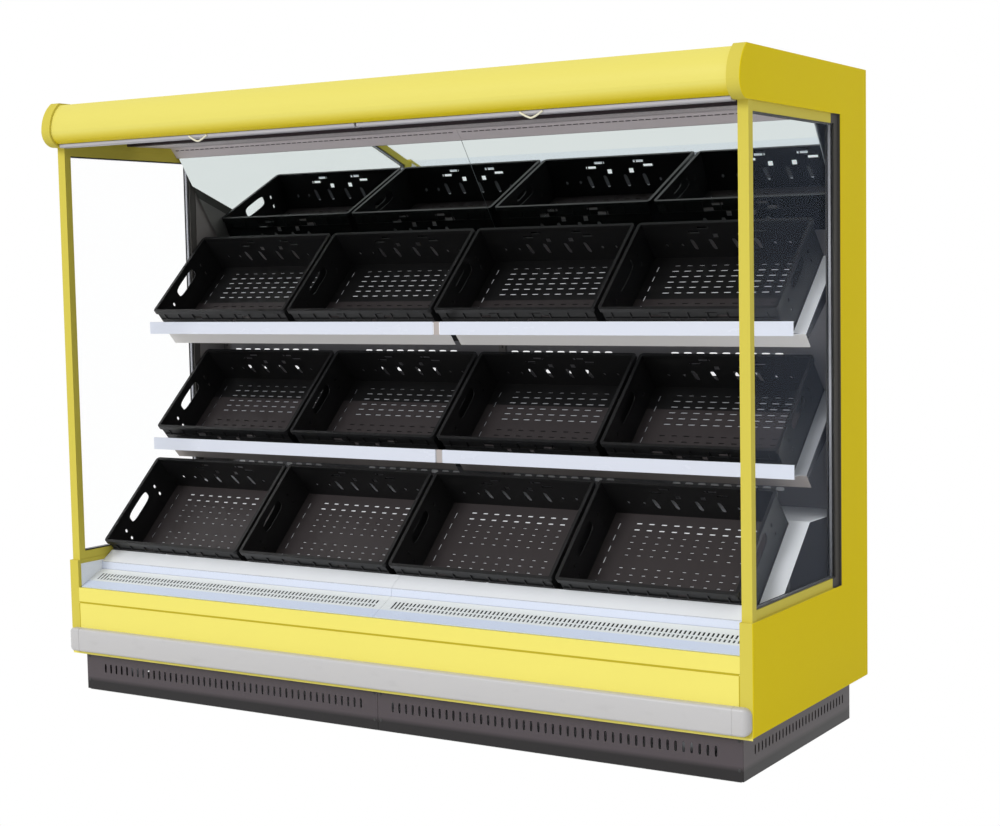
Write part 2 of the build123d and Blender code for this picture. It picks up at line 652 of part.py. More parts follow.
# ---- mirror ----------------------------------------------------------------------------------
def mirror_length():
    """Length of the mirror down its slope, to just in front of the uprights."""
    start = mirror_top()
    return (UPRIGHT_Y - SEAM - start[0] - MIRROR_THICK) / MIRROR_DIR[0]


def mirrors():
    """Two tilted mirrors that show the top row from above."""
    start = point(mirror_top(), (MIRROR_DIR, SEAM / 2))
    end = point(start, (MIRROR_DIR, mirror_length()))
    path = [start, end]
    plates = []
    for x0, x1 in ((-IN_X + MIRROR_END_GAP, -SEAM / 2), (SEAM / 2, IN_X - MIRROR_END_GAP)):
        plates.append(folded(path, x0, x1, MIRROR_THICK))
    return group(plates)


def mirror_rails():
    """Sloping rails on the uprights that carry the mirror from behind."""
    back = (-MIRROR_DIR[1], MIRROR_DIR[0])
    start = point(mirror_top(), (MIRROR_DIR, SEAM / 2 + 20.0), (back, MIRROR_THICK))
    end = point(start, (MIRROR_DIR, mirror_length() - 20.0))
    run = (UPRIGHT_Y - start[0]) / MIRROR_DIR[0]
    top_run = (UPRIGHT_Y - start[0] - MIRROR_RAIL * back[0]) / MIRROR_DIR[0]
    foot = point(start, (MIRROR_DIR, run))
    heel = point(start, (MIRROR_DIR, top_run), (back, MIRROR_RAIL))
    rails = [prism([start, foot, heel, point(start, (back, MIRROR_RAIL))],
                   x - UPRIGHT_WIDTH / 4, x + UPRIGHT_WIDTH / 4) for x in upright_places()]
    return group(rails)


# ---- back panels, uprights, shelves ----------------------------------------------------------
def upright_places():
    """Middle of each slotted upright."""
    reach = IN_X - SHEET - UPRIGHT_WIDTH / 2
    return [-reach, 0.0, reach]


def back_air_panels():
    """Perforated panels in front of the duct, one per bay, between the uprights."""
    places = upright_places()
    half = UPRIGHT_WIDTH / 2
    panels = []
    for left, right in zip(places, places[1:]):
        x0, x1 = left + half, right - half
        panel = block(x0, x1, PANEL_Y - SHEET, PANEL_Y, BASE_TOP + COIL_HEIGHT, ROOF_BOTTOM)
        for seat_z, rise in zip((LOWER_SEAT_Z, DECK_SEAT_Z), AIR_SLOT_RISES):
            row_z = seat_z + CRATE_DEPTH * U[1] + rise
            for x in spread(x0 + AIR_SLOT_PITCH, x1 - AIR_SLOT_PITCH, AIR_SLOT_PITCH):
                panel -= Pos(x, PANEL_Y, row_z) * Box(AIR_SLOT[0], 4 * SHEET, AIR_SLOT[1])
        panels.append(panel)
    return group(panels)


def shelf_uprights():
    """Channel uprights on the rear wall, slotted for the shelf brackets."""
    half = UPRIGHT_WIDTH / 2
    low = BASE_TOP + COIL_HEIGHT
    uprights = []
    for x in upright_places():
        post = block(x - half, x + half, UPRIGHT_Y, WALL_FRONT_Y, low, ROOF_BOTTOM)
        post -= block(x - half + SEAM, x + half - SEAM, UPRIGHT_Y + SEAM, BACK_Y, 0, HEIGHT)
        for z in spread(low + UPRIGHT_SLOT_PITCH, UPPER_SEAT_Z + SHELF_PITCH, UPRIGHT_SLOT_PITCH):
            post -= Pos(x, UPRIGHT_Y, z) * Box(UPRIGHT_SLOT[0], 6 * SEAM, UPRIGHT_SLOT[1])
        uprights.append(post)
    return group(uprights)


def seat(corner_y, corner_z, up=0.0, out=0.0):
    """A point near a seat: up the slope and out of it from the crate's front corner."""
    return point((corner_y, corner_z), (U, up), (N, out))


def shelf_path(seat_z):
    """Upper face of a shelf tray, from its rear hem to the rail upturn."""
    lip_up = CRATE_RIM - REST_GAP
    lip_top = seat(SEAT_Y, seat_z, lip_up, SEAT_LIP)
    upturn = RAIL_FACE_Y + 2 * SHEET
    return [seat(SEAT_Y, seat_z, CRATE_DEPTH - SEAT_HEM, -REST_GAP - SEAT_HEM),
            seat(SEAT_Y, seat_z, CRATE_DEPTH - SEAT_HEM, -REST_GAP),
            seat(SEAT_Y, seat_z, lip_up, -REST_GAP), lip_top, (upturn, lip_top[1]),
            (upturn, lip_top[1] + RAIL_HEIGHT - 3 * SHEET)]


def shelf_tray(seat_z):
    """One level: two folded trays with a front lip and an upturn for the price rail."""
    trays = []
    for x0, x1 in ((-IN_X + SHELF_END_GAP, -SHELF_MID_GAP), (SHELF_MID_GAP, IN_X - SHELF_END_GAP)):
        trays.append(folded(shelf_path(seat_z), x0, x1))
    return group(trays)


def shelf_brackets():
    """Tapered plates from the uprights, one at each end of every tray."""
    plates = []
    for seat_z in (LOWER_SEAT_Z, UPPER_SEAT_Z):
        start = seat(SEAT_Y, seat_z, CRATE_RIM - REST_GAP - SHEET, -2 * REST_GAP)
        front = point(start, (N, -BRACKET_FRONT))
        rear_run = (UPRIGHT_Y - start[0]) / U[0]
        rear = point(start, (U, rear_run))
        outline = [start, front, (UPRIGHT_Y, rear[1] - BRACKET_REAR), rear]
        inner = SHELF_MID_GAP - BRACKET_THICK
        outer = IN_X - SHELF_END_GAP
        for x in (inner, outer):
            plates += both_ends(prism(outline, x, x + BRACKET_THICK))
    return group(plates)


def price_rails():
    """Clip-on price rails along the front of each tray."""
    rails = []
    for seat_z in (LOWER_SEAT_Z, UPPER_SEAT_Z):
        base = shelf_path(seat_z)[3][1]
        path = [(RAIL_FACE_Y + RAIL_HOOK, base - 2 * SHEET), (RAIL_FACE_Y, base - 2 * SHEET),
                (RAIL_FACE_Y, base - 2 * SHEET + RAIL_HEIGHT + SHEET / 2),
                (RAIL_FACE_Y + RAIL_HOOK, base - 2 * SHEET + RAIL_HEIGHT + SHEET / 2)]
        rail = prism(thick_path(path[::-1], SHEET), RAIL_MID_GAP, IN_X - SHEET - SEAM / 2)
        rails += both_ends(rail)
    return group(rails)


# ---- deck, grille and front ---------------------------------------------------------------
def grille_points():
    """Upper face of the return air grille, from its back edge to its front edge."""
    return [(FRONT_Y + back, FRONT_TOP + up) for back, up in (GRILLE_BACK, GRILLE_BEND, GRILLE_FRONT)]


def deck_trays():
    """Folded deck of each bay: rear flange, tilted seat, lip, slope and step."""
    back = grille_points()[0]
    step_top = (back[0] + STEP_LEAN, back[1] + STEP_HEIGHT)
    lip_up = CRATE_RIM - REST_GAP
    top = seat(DECK_SEAT_Y, DECK_SEAT_Z, CRATE_DEPTH + SEAM, -REST_GAP)
    path = [(PANEL_Y - SHEET, top[1]), top, seat(DECK_SEAT_Y, DECK_SEAT_Z, lip_up, -REST_GAP),
            seat(DECK_SEAT_Y, DECK_SEAT_Z, lip_up, DECK_LIP), step_top,
            (back[0] + SHEET, back[1] - SHEET)]
    end = IN_X - SHEET - REST_GAP
    notch = UPRIGHT_WIDTH + SHEET + REST_GAP
    trays = []
    for x0, x1 in ((-end, -SEAM / 4), (SEAM / 4, end)):
        tray = folded(path, x0, x1)
        for x in upright_places():
            tray -= block(x - notch / 2, x + notch / 2, UPRIGHT_Y - SEAM, PANEL_Y, 0, HEIGHT)
        trays.append(tray)
    return group(trays)


def air_grilles():
    """Return air grille of each bay, slotted along its upper slope."""
    points = grille_points()
    path = points + [(points[-1][0], FRONT_TOP)]
    middle = ((points[0][0] + points[1][0]) / 2, (points[0][1] + points[1][1]) / 2)
    slope = degrees(atan2(points[0][1] - points[1][1], points[0][0] - points[1][0]))
    end = IN_X - SHEET - REST_GAP
    grilles = []
    for x0, x1 in ((-end, -SEAM / 4), (SEAM / 4, end)):
        grille = folded(path, x0, x1)
        for x in spread(x0 + GRILLE_SLOT_MARGIN, x1 - GRILLE_SLOT_MARGIN, GRILLE_SLOT_PITCH):
            cutter = Rot(slope, 0, 0) * Box(GRILLE_SLOT[0], GRILLE_SLOT[1], 6 * SHEET)
            grille -= Pos(x, middle[0], middle[1]) * cutter
        grilles.append(grille)
    return group(grilles)


def deck_under(y):
    """Height of the underside of the tilted deck at depth y."""
    corner = seat(DECK_SEAT_Y, DECK_SEAT_Z, 0.0, -REST_GAP - SHEET)
    return corner[1] + (y - corner[0]) * tan(radians(TILT))


def grille_under(y):
    """Height of the underside of the slotted part of the grille at depth y."""
    (back_y, back_z), (bend_y, bend_z) = grille_points()[:2]
    slope = (back_z - bend_z) / (back_y - bend_y)
    return back_z + (y - back_y) * slope - SHEET * sqrt(1 + slope * slope)


def deck_supports():
    """Upright plates on the base that carry the front of the deck and the grille."""
    lip_up = CRATE_RIM - REST_GAP - SHEET
    corner = seat(DECK_SEAT_Y, DECK_SEAT_Z, lip_up, -REST_GAP - SHEET)
    lip_top = seat(DECK_SEAT_Y, DECK_SEAT_Z, lip_up, DECK_LIP / 2)
    rear = FAN_PLATE_Y - 4 * SEAM
    back = grille_points()[0][0]
    foot = back - 6 * SEAM
    outline = [(foot, BASE_TOP), (rear, BASE_TOP), (rear, deck_under(rear)), corner, lip_top,
               (back + 3 * SEAM, corner[1]), (back, grille_under(back)), (foot, grille_under(foot))]
    places = [i * IN_X / 2 for i in (-1, 1)]
    return group([prism(outline, x - SEAM / 2, x + SEAM / 2) for x in places])


def front_upper_panel():
    """Upper strip of the front cladding, with a flange over the base."""
    path = [(BASE_FRONT_Y + 6 * SEAM, FRONT_TOP), (FRONT_Y, FRONT_TOP),
            (FRONT_Y, FRONT_TOP - UPPER_PANEL_HEIGHT),
            (BASE_FRONT_Y, FRONT_TOP - UPPER_PANEL_HEIGHT)]
    return folded(path, -IN_X, IN_X)


def front_lower_panel():
    """Lower strip of the front cladding."""
    top = FRONT_TOP - UPPER_PANEL_HEIGHT - SEAM
    path = [(BASE_FRONT_Y, top), (FRONT_Y, top), (FRONT_Y, PLINTH_HEIGHT + SEAM),
            (BASE_FRONT_Y, PLINTH_HEIGHT + SEAM)]
    return folded(path, -IN_X, IN_X)


def front_riser():
    """Clear upstand along the front of the deck, one pane per bay."""
    y0 = FRONT_Y + RISER_SETBACK
    pane = block(SEAM / 4, IN_X - SHEET - SEAM / 2, y0, y0 + RISER_THICK, FRONT_TOP, RISER_TOP)
    return group(both_ends(pane))


def bumper_rail():
    """Hollow bumper along the base with a solid rounded cap at each end."""
    low = PLINTH_HEIGHT + BUMPER_BOTTOM
    high = low + BUMPER_HEIGHT
    front = FRONT_Y - BUMPER_DEPTH
    reach = OUT_X - BUMPER_END_GAP
    section = block(-reach + BUMPER_CAP, reach - BUMPER_CAP, front, FRONT_Y, low, high)
    section = fillet(section.edges().filter_by(Axis.X).group_by(Axis.Y)[0], BUMPER_ROUND)
    section -= block(-reach, reach, front + BUMPER_WALL, FRONT_Y + SEAM, low + BUMPER_WALL,
                     high - BUMPER_WALL)
    cap = block(reach - BUMPER_CAP, reach, front, FRONT_Y, low, high)
    seen = cap.edges().filter_by(lambda e: e.center().Y < front + SEAM)
    rounded = seen.filter_by(lambda e: e.center().X > reach - BUMPER_CAP + SEAM)
    cap = fillet(rounded, BUMPER_ROUND)
    return group([section] + both_ends(cap))


# ---- cooling ---------------------------------------------------------------------------------
def drain_pan():
    """Shallow pan under the coil with an outlet spigot through the base."""
    x, y = drain_place()
    back = PANEL_Y - SEAM
    path = [(PAN_FRONT_Y, BASE_TOP + PAN_RIM), (PAN_FRONT_Y, BASE_TOP), (back, BASE_TOP),
            (back, BASE_TOP + PAN_RIM)]
    reach = IN_X - PAN_END_GAP
    pan = prism(thick_path(path, SHEET), -reach, reach)
    pan += rod((x, y, BASE_TOP - INSULATION), (x, y, BASE_TOP + SHEET / 2), DRAIN_RADIUS)
    pan -= rod((x, y, 0), (x, y, HEIGHT / 2), DRAIN_RADIUS - SEAM)
    return pan


def coil_corner():
    """Front bottom corner of the finned block, above its feet in the pan."""
    return (COIL_FRONT_Y, BASE_TOP + SHEET + COIL_FOOT)


def evaporator_coil():
    """Finned block with end plates, return bends at the right and tube stubs at the left."""
    y, z = coil_corner()
    reach = IN_X - COIL_END_GAP
    fins = block(-reach, reach, y, y + COIL_DEPTH, z, z + COIL_HEIGHT)
    width, groove = COIL_GROOVE
    for x in spread(-reach + COIL_SECTION / 2, reach - COIL_SECTION / 2, COIL_SECTION):
        fins -= block(x - width / 2, x + width / 2, y - 1, y + groove, z - 1, z + COIL_HEIGHT + 1)
    for foot in both_ends(block(reach - COIL_FOOT, reach, y, y + COIL_DEPTH, z - COIL_FOOT, z)):
        fins += foot
    pitch = COIL_DEPTH / COIL_BENDS
    for i in range(COIL_BENDS):
        centre_y = y + pitch * (i + 0.5)
        plane = Plane(origin=(reach, centre_y - pitch / 4, z + COIL_HEIGHT / 2), z_dir=(1, 0, 0))
        turn = revolve(plane * Circle(LIQUID_PIPE_RADIUS),
                       Axis((reach, centre_y, z + COIL_HEIGHT / 2), (0, 0, -1)), 180)
        fins += turn
    return fins


def refrigerant_pipes():
    """Liquid and suction lines from the coil end, each by an elbow down through the base."""
    y, z = coil_corner()
    reach = IN_X - COIL_END_GAP
    height = z + COIL_HEIGHT / 2
    pipes = []
    for x, pipe_y, radius in pipe_places():
        path = Polyline((-reach, pipe_y, height), (x, pipe_y, height), (x, pipe_y, PLINTH_HEIGHT / 2))
        start = Plane(origin=(-reach, pipe_y, height), z_dir=(-1, 0, 0))
        pipes.append(sweep(start * Circle(radius), path=path, transition=Transition.RIGHT))
    return group(pipes)


def fan_plate():
    """Plate across the base with a round opening for each fan."""
    end = IN_X - SHEET - REST_GAP
    plate = block(-end, end, FAN_PLATE_Y, FAN_PLATE_Y + SHEET, BASE_TOP, deck_under(FAN_PLATE_Y))
    for x in FAN_PLACES:
        plate -= rod((x, FAN_PLATE_Y - 10, FAN_Z), (x, FAN_PLATE_Y + 10, FAN_Z),
                     FAN_RADIUS + FAN_TIP_GAP)
    return plate


def fan_motors():
    """Motor behind each opening on a bridge bolted to the plate."""
    face = FAN_PLATE_Y + SHEET
    bridge = face + FAN_DEPTH
    reach = FAN_RADIUS + FAN_TIP_GAP + 4 * MOTOR_BAR
    width = 5 * MOTOR_BAR
    motors = []
    for x in FAN_PLACES:
        motor = block(x - MOTOR_HALF, x + MOTOR_HALF, bridge, bridge + MOTOR_LENGTH,
                      FAN_Z - MOTOR_HALF, FAN_Z + MOTOR_HALF)
        motor += block(x - width / 2, x + width / 2, bridge, bridge + MOTOR_BAR,
                       FAN_Z - reach, FAN_Z + reach)
        for z0 in (FAN_Z - reach, FAN_Z + reach - MOTOR_BAR):
            motor += block(x - width / 2, x + width / 2, face, bridge, z0, z0 + MOTOR_BAR)
        motor -= rod((x, bridge - 1, FAN_Z), (x, bridge + MOTOR_LENGTH / 2, FAN_Z),
                     FAN_SHAFT_RADIUS + RUNNING_CLEARANCE)
        motors.append(motor)
    return group(motors)


def fan_rotor(x):
    """Hub with a flat on either side of every blade root, shaft and pitched blades."""
    front = FAN_PLATE_Y - FAN_DEPTH / 2
    back = front + FAN_DEPTH
    hub = Plane(origin=(x, front, FAN_Z), z_dir=(0, 1, 0)) * RegularPolygon(FAN_HUB_RADIUS, 2 * FAN_BLADES)
    rotor = extrude(hub, FAN_DEPTH)
    shaft_end = FAN_PLATE_Y + SHEET + FAN_DEPTH + MOTOR_LENGTH / 2 - SEAM
    rotor += octagon_rod((x, back, FAN_Z), (x, shaft_end, FAN_Z), FAN_SHAFT_RADIUS)
    length = FAN_RADIUS - FAN_HUB_RADIUS / 2
    for i in range(FAN_BLADES):
        blade = Pos(FAN_HUB_RADIUS / 2 + length / 2, 0, 0) * Rot(55, 0, 0) * Box(length, 1.5 * SHEET, 46)
        blade = Rot(0, 360 * i / FAN_BLADES, 0) * blade
        rotor += Pos(x, (front + back) / 2, FAN_Z) * blade
    return rotor


def electrical_box():
    """Connection box under the base with its lid and a cable gland."""
    x, y = 0.72 * IN_X, leg_places()[0][1] + 2 * FRAME_TUBE
    length, width, height = BOX
    low = PLINTH_HEIGHT - height
    box = block(x - length / 2, x + length / 2, y, y + width, low, PLINTH_HEIGHT)
    lid = block(x - length / 2, x + length / 2, y, y + width, low - BOX_LID, low)
    start = Plane(origin=(x - length / 2, y + width / 2, low + height / 2), z_dir=(-1, 0, 0))
    gland = extrude(start * RegularPolygon(GLAND_RADIUS, 6), GLAND_LENGTH)
    return group([box + gland, lid])


# ---- crates ------------------------------------------------------------------------------------
def crate():
    """One stacking crate, lying flat: X along it, Y from its front rim, Z up from its floor."""
    length, depth, height = CRATE_LENGTH, CRATE_DEPTH, CRATE_HEIGHT
    rim_z = height - CRATE_RIM_HEIGHT
    rim, wall = CRATE_RIM, CRATE_WALL
    shell = block(0, length, 0, depth, rim_z, height)
    shell += block(rim, length - rim, rim, depth - rim, 0, rim_z)
    inner = rim + wall
    shell += block(rim, length - rim, rim / 2, depth - rim / 2, CRATE_RIB, CRATE_RIB + 2 * wall)
    shell -= block(inner, length - inner, inner, depth - inner, wall, height + 1)
    outline = chamfer(Rectangle(*HAND_HOLE).vertices(), HAND_HOLE_CORNER)
    outline = Plane.YZ.offset(-1) * Pos(depth / 2, height - HAND_HOLE_DROP) * outline
    shell -= extrude(outline, length + 2)
    half, lean = CRATE_SLOT[0] / 2, CRATE_SLOT_LEAN
    low = CRATE_SLOT_Z - CRATE_SLOT[1] / 2
    high = CRATE_SLOT_Z + CRATE_SLOT[1] / 2
    for share in CRATE_SLOT_SHARES:
        x = share * length
        slot = Polyline((x - half - lean, high), (x + half - lean, high), (x + half + lean, low),
                        (x - half + lean, low), close=True)
        shell -= extrude(Plane.XZ.offset(1) * make_face(slot), -depth - 2)
    for y in (0.25 * depth, 0.75 * depth):
        shell -= Pos(length / 2, y, 0) * Box(0.7 * length, 4 * wall, 4 * wall)
    return shell


def crate_rows():
    """Seat corner of each row, top row first."""
    return {"top": (SEAT_Y, UPPER_SEAT_Z), "middle": (SEAT_Y, LOWER_SEAT_Z),
            "deck": (DECK_SEAT_Y, DECK_SEAT_Z)}


def crates():
    """All crates on their seats, by node name."""
    shape = crate()
    placed = {}
    for row, (y, z) in crate_rows().items():
        for i in range(CRATES_PER_ROW):
            x = -IN_X + CRATE_START + CRATE_PITCH * i
            placed[f"crate_{row}_{i + 1}"] = Pos(x, y, z) * Rot(TILT, 0, 0) * shape
    return placed


# ---- assembly -----------------------------------------------------------------------------
def build():
    """Every node by name."""
    right_end = end_panel()
    right_frame = window_frame()
    nodes = {
        "base_frame": base_frame(), "levelling_feet": levelling_feet(),
        "plinth_front": plinth_front(), "plinth_ends": plinth_ends(),
        "base_tub": base_tub(), "rear_wall": rear_wall(), "roof_panel": roof_panel(),
        "end_panel_right": right_end, "end_panel_left": mirror(right_end, about=Plane.YZ),
        "end_liners": end_liners(), "window_frame_right": right_frame,
        "window_frame_left": mirror(right_frame, about=Plane.YZ),
        "window_panes": window_panes(), "glass_spacers": glass_spacers(),
        "canopy_fascia": canopy_fascia(), "canopy_soffit": canopy_soffit(),
        "air_honeycomb": air_honeycomb(), "blind_cassette": blind_cassette(),
        "mirrors": mirrors(), "mirror_rails": mirror_rails(),
        "back_air_panels": back_air_panels(), "shelf_uprights": shelf_uprights(),
        "shelf_tray_lower": shelf_tray(LOWER_SEAT_Z), "shelf_tray_upper": shelf_tray(UPPER_SEAT_Z),
        "shelf_brackets": shelf_brackets(), "price_rails": price_rails(),
        "deck_trays": deck_trays(), "deck_supports": deck_supports(), "air_grilles": air_grilles(),
        "front_riser": front_riser(), "front_upper_panel": front_upper_panel(),
        "front_lower_panel": front_lower_panel(), "bumper_rail": bumper_rail(),
        "drain_pan": drain_pan(), "evaporator_coil": evaporator_coil(),
        "refrigerant_pipes": refrigerant_pipes(), "fan_plate": fan_plate(),
        "fan_motors": fan_motors(), "electrical_box": electrical_box(),
    }
    for name, side in (("left", -1), ("right", 1)):
        nodes[f"blind_roller_{name}"] = blind_roller(side)
        nodes[f"blind_curtain_{name}"] = blind_curtain(side)
        nodes[f"blind_bar_{name}"] = blind_bar(side)
    for name, x in zip(("left", "middle", "right"), FAN_PLACES):
        nodes[f"fan_rotor_{name}"] = fan_rotor(x)
    nodes.update(crates())
    return nodes


os.makedirs("parts", exist_ok=True)
for node, shape in build().items():
    export_step(shape, f"parts/{node}.step")
print("blind travel", round(BLIND_TRAVEL, 1), "roller", BLIND_Y, BLIND_Z, "curtain", CURTAIN_Y)
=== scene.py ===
import math

import bmesh
import bpy
import numpy as np
from mathutils import Matrix, Vector


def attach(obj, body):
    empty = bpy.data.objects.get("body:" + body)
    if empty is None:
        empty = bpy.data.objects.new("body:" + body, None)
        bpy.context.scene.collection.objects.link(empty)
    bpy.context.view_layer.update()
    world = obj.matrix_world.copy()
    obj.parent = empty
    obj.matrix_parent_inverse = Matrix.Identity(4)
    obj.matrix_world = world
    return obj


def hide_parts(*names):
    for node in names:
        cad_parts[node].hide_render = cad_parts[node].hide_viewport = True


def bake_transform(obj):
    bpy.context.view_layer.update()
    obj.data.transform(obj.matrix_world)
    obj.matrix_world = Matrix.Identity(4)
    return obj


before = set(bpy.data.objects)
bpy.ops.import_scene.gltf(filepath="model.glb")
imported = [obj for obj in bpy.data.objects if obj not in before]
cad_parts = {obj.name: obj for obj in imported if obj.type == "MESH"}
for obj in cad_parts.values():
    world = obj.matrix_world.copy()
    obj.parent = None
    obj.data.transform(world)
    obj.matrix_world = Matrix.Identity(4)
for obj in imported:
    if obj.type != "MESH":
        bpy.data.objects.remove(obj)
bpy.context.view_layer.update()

# Lengths are in millimetres until a mesh is made, X along the cabinet, -Y to the shopper.
MM = 0.001
INNER = 1250.0          # inside face of an end
FRONT = -416.0          # face of the front cladding
SHEET = 1.5
TILT = math.radians(43.0)
UP = np.array([math.cos(TILT), math.sin(TILT)])      # up a seat, in (y, z)
OUT = np.array([-math.sin(TILT), math.cos(TILT)])    # out of a seat
SEATS = {"top": (100.3, 1199.3), "middle": (100.3, 779.3), "deck": (-190.7, 398.3)}
CRATE = (600.0, 396.0, 150.0)
CRATE_PITCH = 612.0
MIRROR_EDGE = (160.8, 1867.5)                        # front edge of the mirror, in (y, z)
MIRROR_TILT = math.radians(35.0)
SIDES = (("left", -1.0), ("right", 1.0))


def mirrored(near, far):
    """The two stretches of X between near and far of the middle, left first."""
    return (-far, -near), (near, far)


# ---- shapes: (points, faces), worked out on grids ----
def join(*shapes):
    """Several shapes as one: points stacked, and face numbers moved up to match."""
    points, faces, start = [], [], 0
    for shape_points, shape_faces in shapes:
        points.append(shape_points)
        faces += [tuple(n + start for n in face) for face in shape_faces]
        start += len(shape_points)
    return np.vstack(points), faces


def placed(shape, place):
    """The shape with each (u, v, w) sent through place(u, v, w) -> (x, y, z)."""
    points, faces = shape
    return np.column_stack(place(*points.T)), faces


def oval(count, a, b, power, lean):
    """Outline of a hole: a |cos t|^power, b |sin t|^power with the signs kept, leaned by
    lean times the second coordinate.  power 1 is an ellipse, 0.5 is nearly a stadium."""
    t = np.arange(count) * 2 * np.pi / count
    cos, sin = np.cos(t), np.sin(t)
    across = a * np.sign(cos) * np.abs(cos) ** power
    along = b * np.sign(sin) * np.abs(sin) ** power
    return across + lean * along, along


def plate(us, vs, thickness, kind=None, holes=(), count=12):
    """A plate on the grid us x vs, between w = 0 and w = thickness.

    kind holds one number for each cell: 0 solid, 1 open, 2 and up with the oval whose
    measures are holes[kind - 2].  Walls stand where a filled cell meets an open one or
    the border.  An oval cell has fans of triangles from its corners to the outline, and
    a wall round the outline."""
    us, vs = np.asarray(us, float), np.asarray(vs, float)
    nu, nv = len(us), len(vs)
    kind = np.zeros((nu - 1, nv - 1), int) if kind is None else kind
    flat = np.stack(np.meshgrid(us, vs, indexing="ij"), -1).reshape(-1, 2)
    points = [np.column_stack([flat, np.full(nu * nv, w)]) for w in (0.0, thickness)]
    number = np.arange(2 * nu * nv).reshape(2, nu, nv)
    low, high = number
    i, j = np.nonzero(kind == 0)
    faces = [np.column_stack([high[i, j], high[i + 1, j], high[i + 1, j + 1], high[i, j + 1]]),
             np.column_stack([low[i, j], low[i, j + 1], low[i + 1, j + 1], low[i + 1, j]])]
    filled = np.pad(kind != 1, 1)
    for axis in (0, 1):
        before = filled[:-1, 1:-1] if axis == 0 else filled[1:-1, :-1]
        after = filled[1:, 1:-1] if axis == 0 else filled[1:-1, 1:]
        step = (0, 1) if axis == 0 else (1, 0)
        for here, there, turn in ((before, after, axis == 0), (after, before, axis == 1)):
            i, j = np.nonzero(here & ~there)
            i2, j2 = i + step[0], j + step[1]
            wall = [low[i, j], low[i2, j2], high[i2, j2], high[i, j]]
            faces.append(np.column_stack(wall if turn else wall[::-1]))
    lists = [face.tolist() for face in faces]
    start = 2 * nu * nv
    for code, hole in enumerate(holes, 2):
        i, j = np.nonzero(kind == code)
        across, along = oval(count, *hole)
        mid_u, mid_v = (us[i] + us[i + 1]) / 2, (vs[j] + vs[j + 1]) / 2
        ring_u = (mid_u[:, None] + across[None]).ravel()
        ring_v = (mid_v[:, None] + along[None]).ravel()
        rings = []
        for level, w in enumerate((0.0, thickness)):
            points.append(np.column_stack([ring_u, ring_v, np.full(len(ring_u), w)]))
            rings.append(start + np.arange(len(ring_u)).reshape(-1, count))
            start += len(ring_u)
        k = np.arange(count)
        for level, corners in enumerate((low, high)):
            four = np.column_stack([corners[i + 1, j + 1], corners[i, j + 1], corners[i, j],
                                    corners[i + 1, j]])
            fan = np.stack([four[:, k * 4 // count], rings[level][:, (k + 1) % count],
                            rings[level][:, k]], -1).reshape(-1, 3)
            q = np.arange(4)
            web = np.stack([four[:, q], four[:, (q + 1) % 4],
                            rings[level][:, (q + 1) * count // 4 % count]], -1).reshape(-1, 3)
            for part in (fan, web):
                lists.append((part if level else part[:, ::-1]).tolist())
        wall = np.stack([rings[0][:, k], rings[1][:, k], rings[1][:, (k + 1) % count],
                         rings[0][:, (k + 1) % count]], -1).reshape(-1, 4)
        lists.append(wall.tolist())
    return np.vstack(points), [tuple(face) for part in lists for face in part]


def sweep(sections, closed_path=False):
    """A skin through rings of points: sections is a grid [along, around, xyz], joined
    to the next ring along and round, with a flat cap at each end of an open path."""
    sections = np.asarray(sections, float)
    n, m = sections.shape[:2]
    number = np.arange(n * m).reshape(n, m)
    along = np.arange(n if closed_path else n - 1)
    a, b = number[along], number[(along + 1) % n]
    quads = np.stack([a, np.roll(a, -1, 1), np.roll(b, -1, 1), b], -1).reshape(-1, 4).tolist()
    if not closed_path:
        quads += [number[0][::-1].tolist(), number[-1].tolist()]
    return sections.reshape(-1, 3), [tuple(face) for face in quads]


def bar(outline, x0, x1):
    """A closed (y, z) outline carried along X from x0 to x1."""
    return sweep([[(x, y, z) for y, z in outline] for x in (x0, x1)])


def block(x0, x1, y0, y1, z0, z1):
    """A block between its corner planes, as a one-cell plate."""
    return placed(plate([x0, x1], [y0, y1], z1 - z0), lambda u, v, w: (u, v, w + z0))


def round_frame(length, depth, radius, section, steps=5):
    """A closed section carried round a rounded rectangle.  The outline's point is a
    corner centre plus radius times a unit direction; section is (outward, up) pairs,
    and outward is added to the radius, so the corners stay concentric."""
    angle = np.concatenate([np.linspace(q, q + 1, steps) for q in range(4)]) * np.pi / 2
    corner = np.repeat([[1, 1], [-1, 1], [-1, -1], [1, -1]], steps, axis=0)
    middle = np.array([length / 2, depth / 2])
    centre = middle + corner * (middle - radius)
    normal = np.column_stack([np.cos(angle), np.sin(angle)])
    section = np.asarray(section, float)
    reach = radius + section[:, 0]
    grid = np.empty((len(angle), len(section), 3))
    grid[..., :2] = centre[:, None] + normal[:, None] * reach[None, :, None]
    grid[..., 2] = section[None, :, 1]
    return sweep(grid, closed_path=True)


def tube(path, radius, around=12):
    """A round bar along a path: circles square to the mean of the two runs at each
    point, widened at a bend by one over the cosine of half its turn."""
    path = np.asarray(path, float)
    runs = np.diff(path, axis=0)
    runs /= np.linalg.norm(runs, axis=1)[:, None]
    ahead = np.vstack([runs, runs[-1]])
    behind = np.vstack([runs[0], runs])
    mean = ahead + behind
    mean /= np.linalg.norm(mean, axis=1)[:, None]
    side = np.cross(mean, [0.31, 0.27, 0.91])
    side /= np.linalg.norm(side, axis=1)[:, None]
    other = np.cross(mean, side)
    t = np.arange(around) * 2 * np.pi / around
    ring = side[:, None] * np.cos(t)[None, :, None] + other[:, None] * np.sin(t)[None, :, None]
    return sweep(path[:, None] + radius * ring)


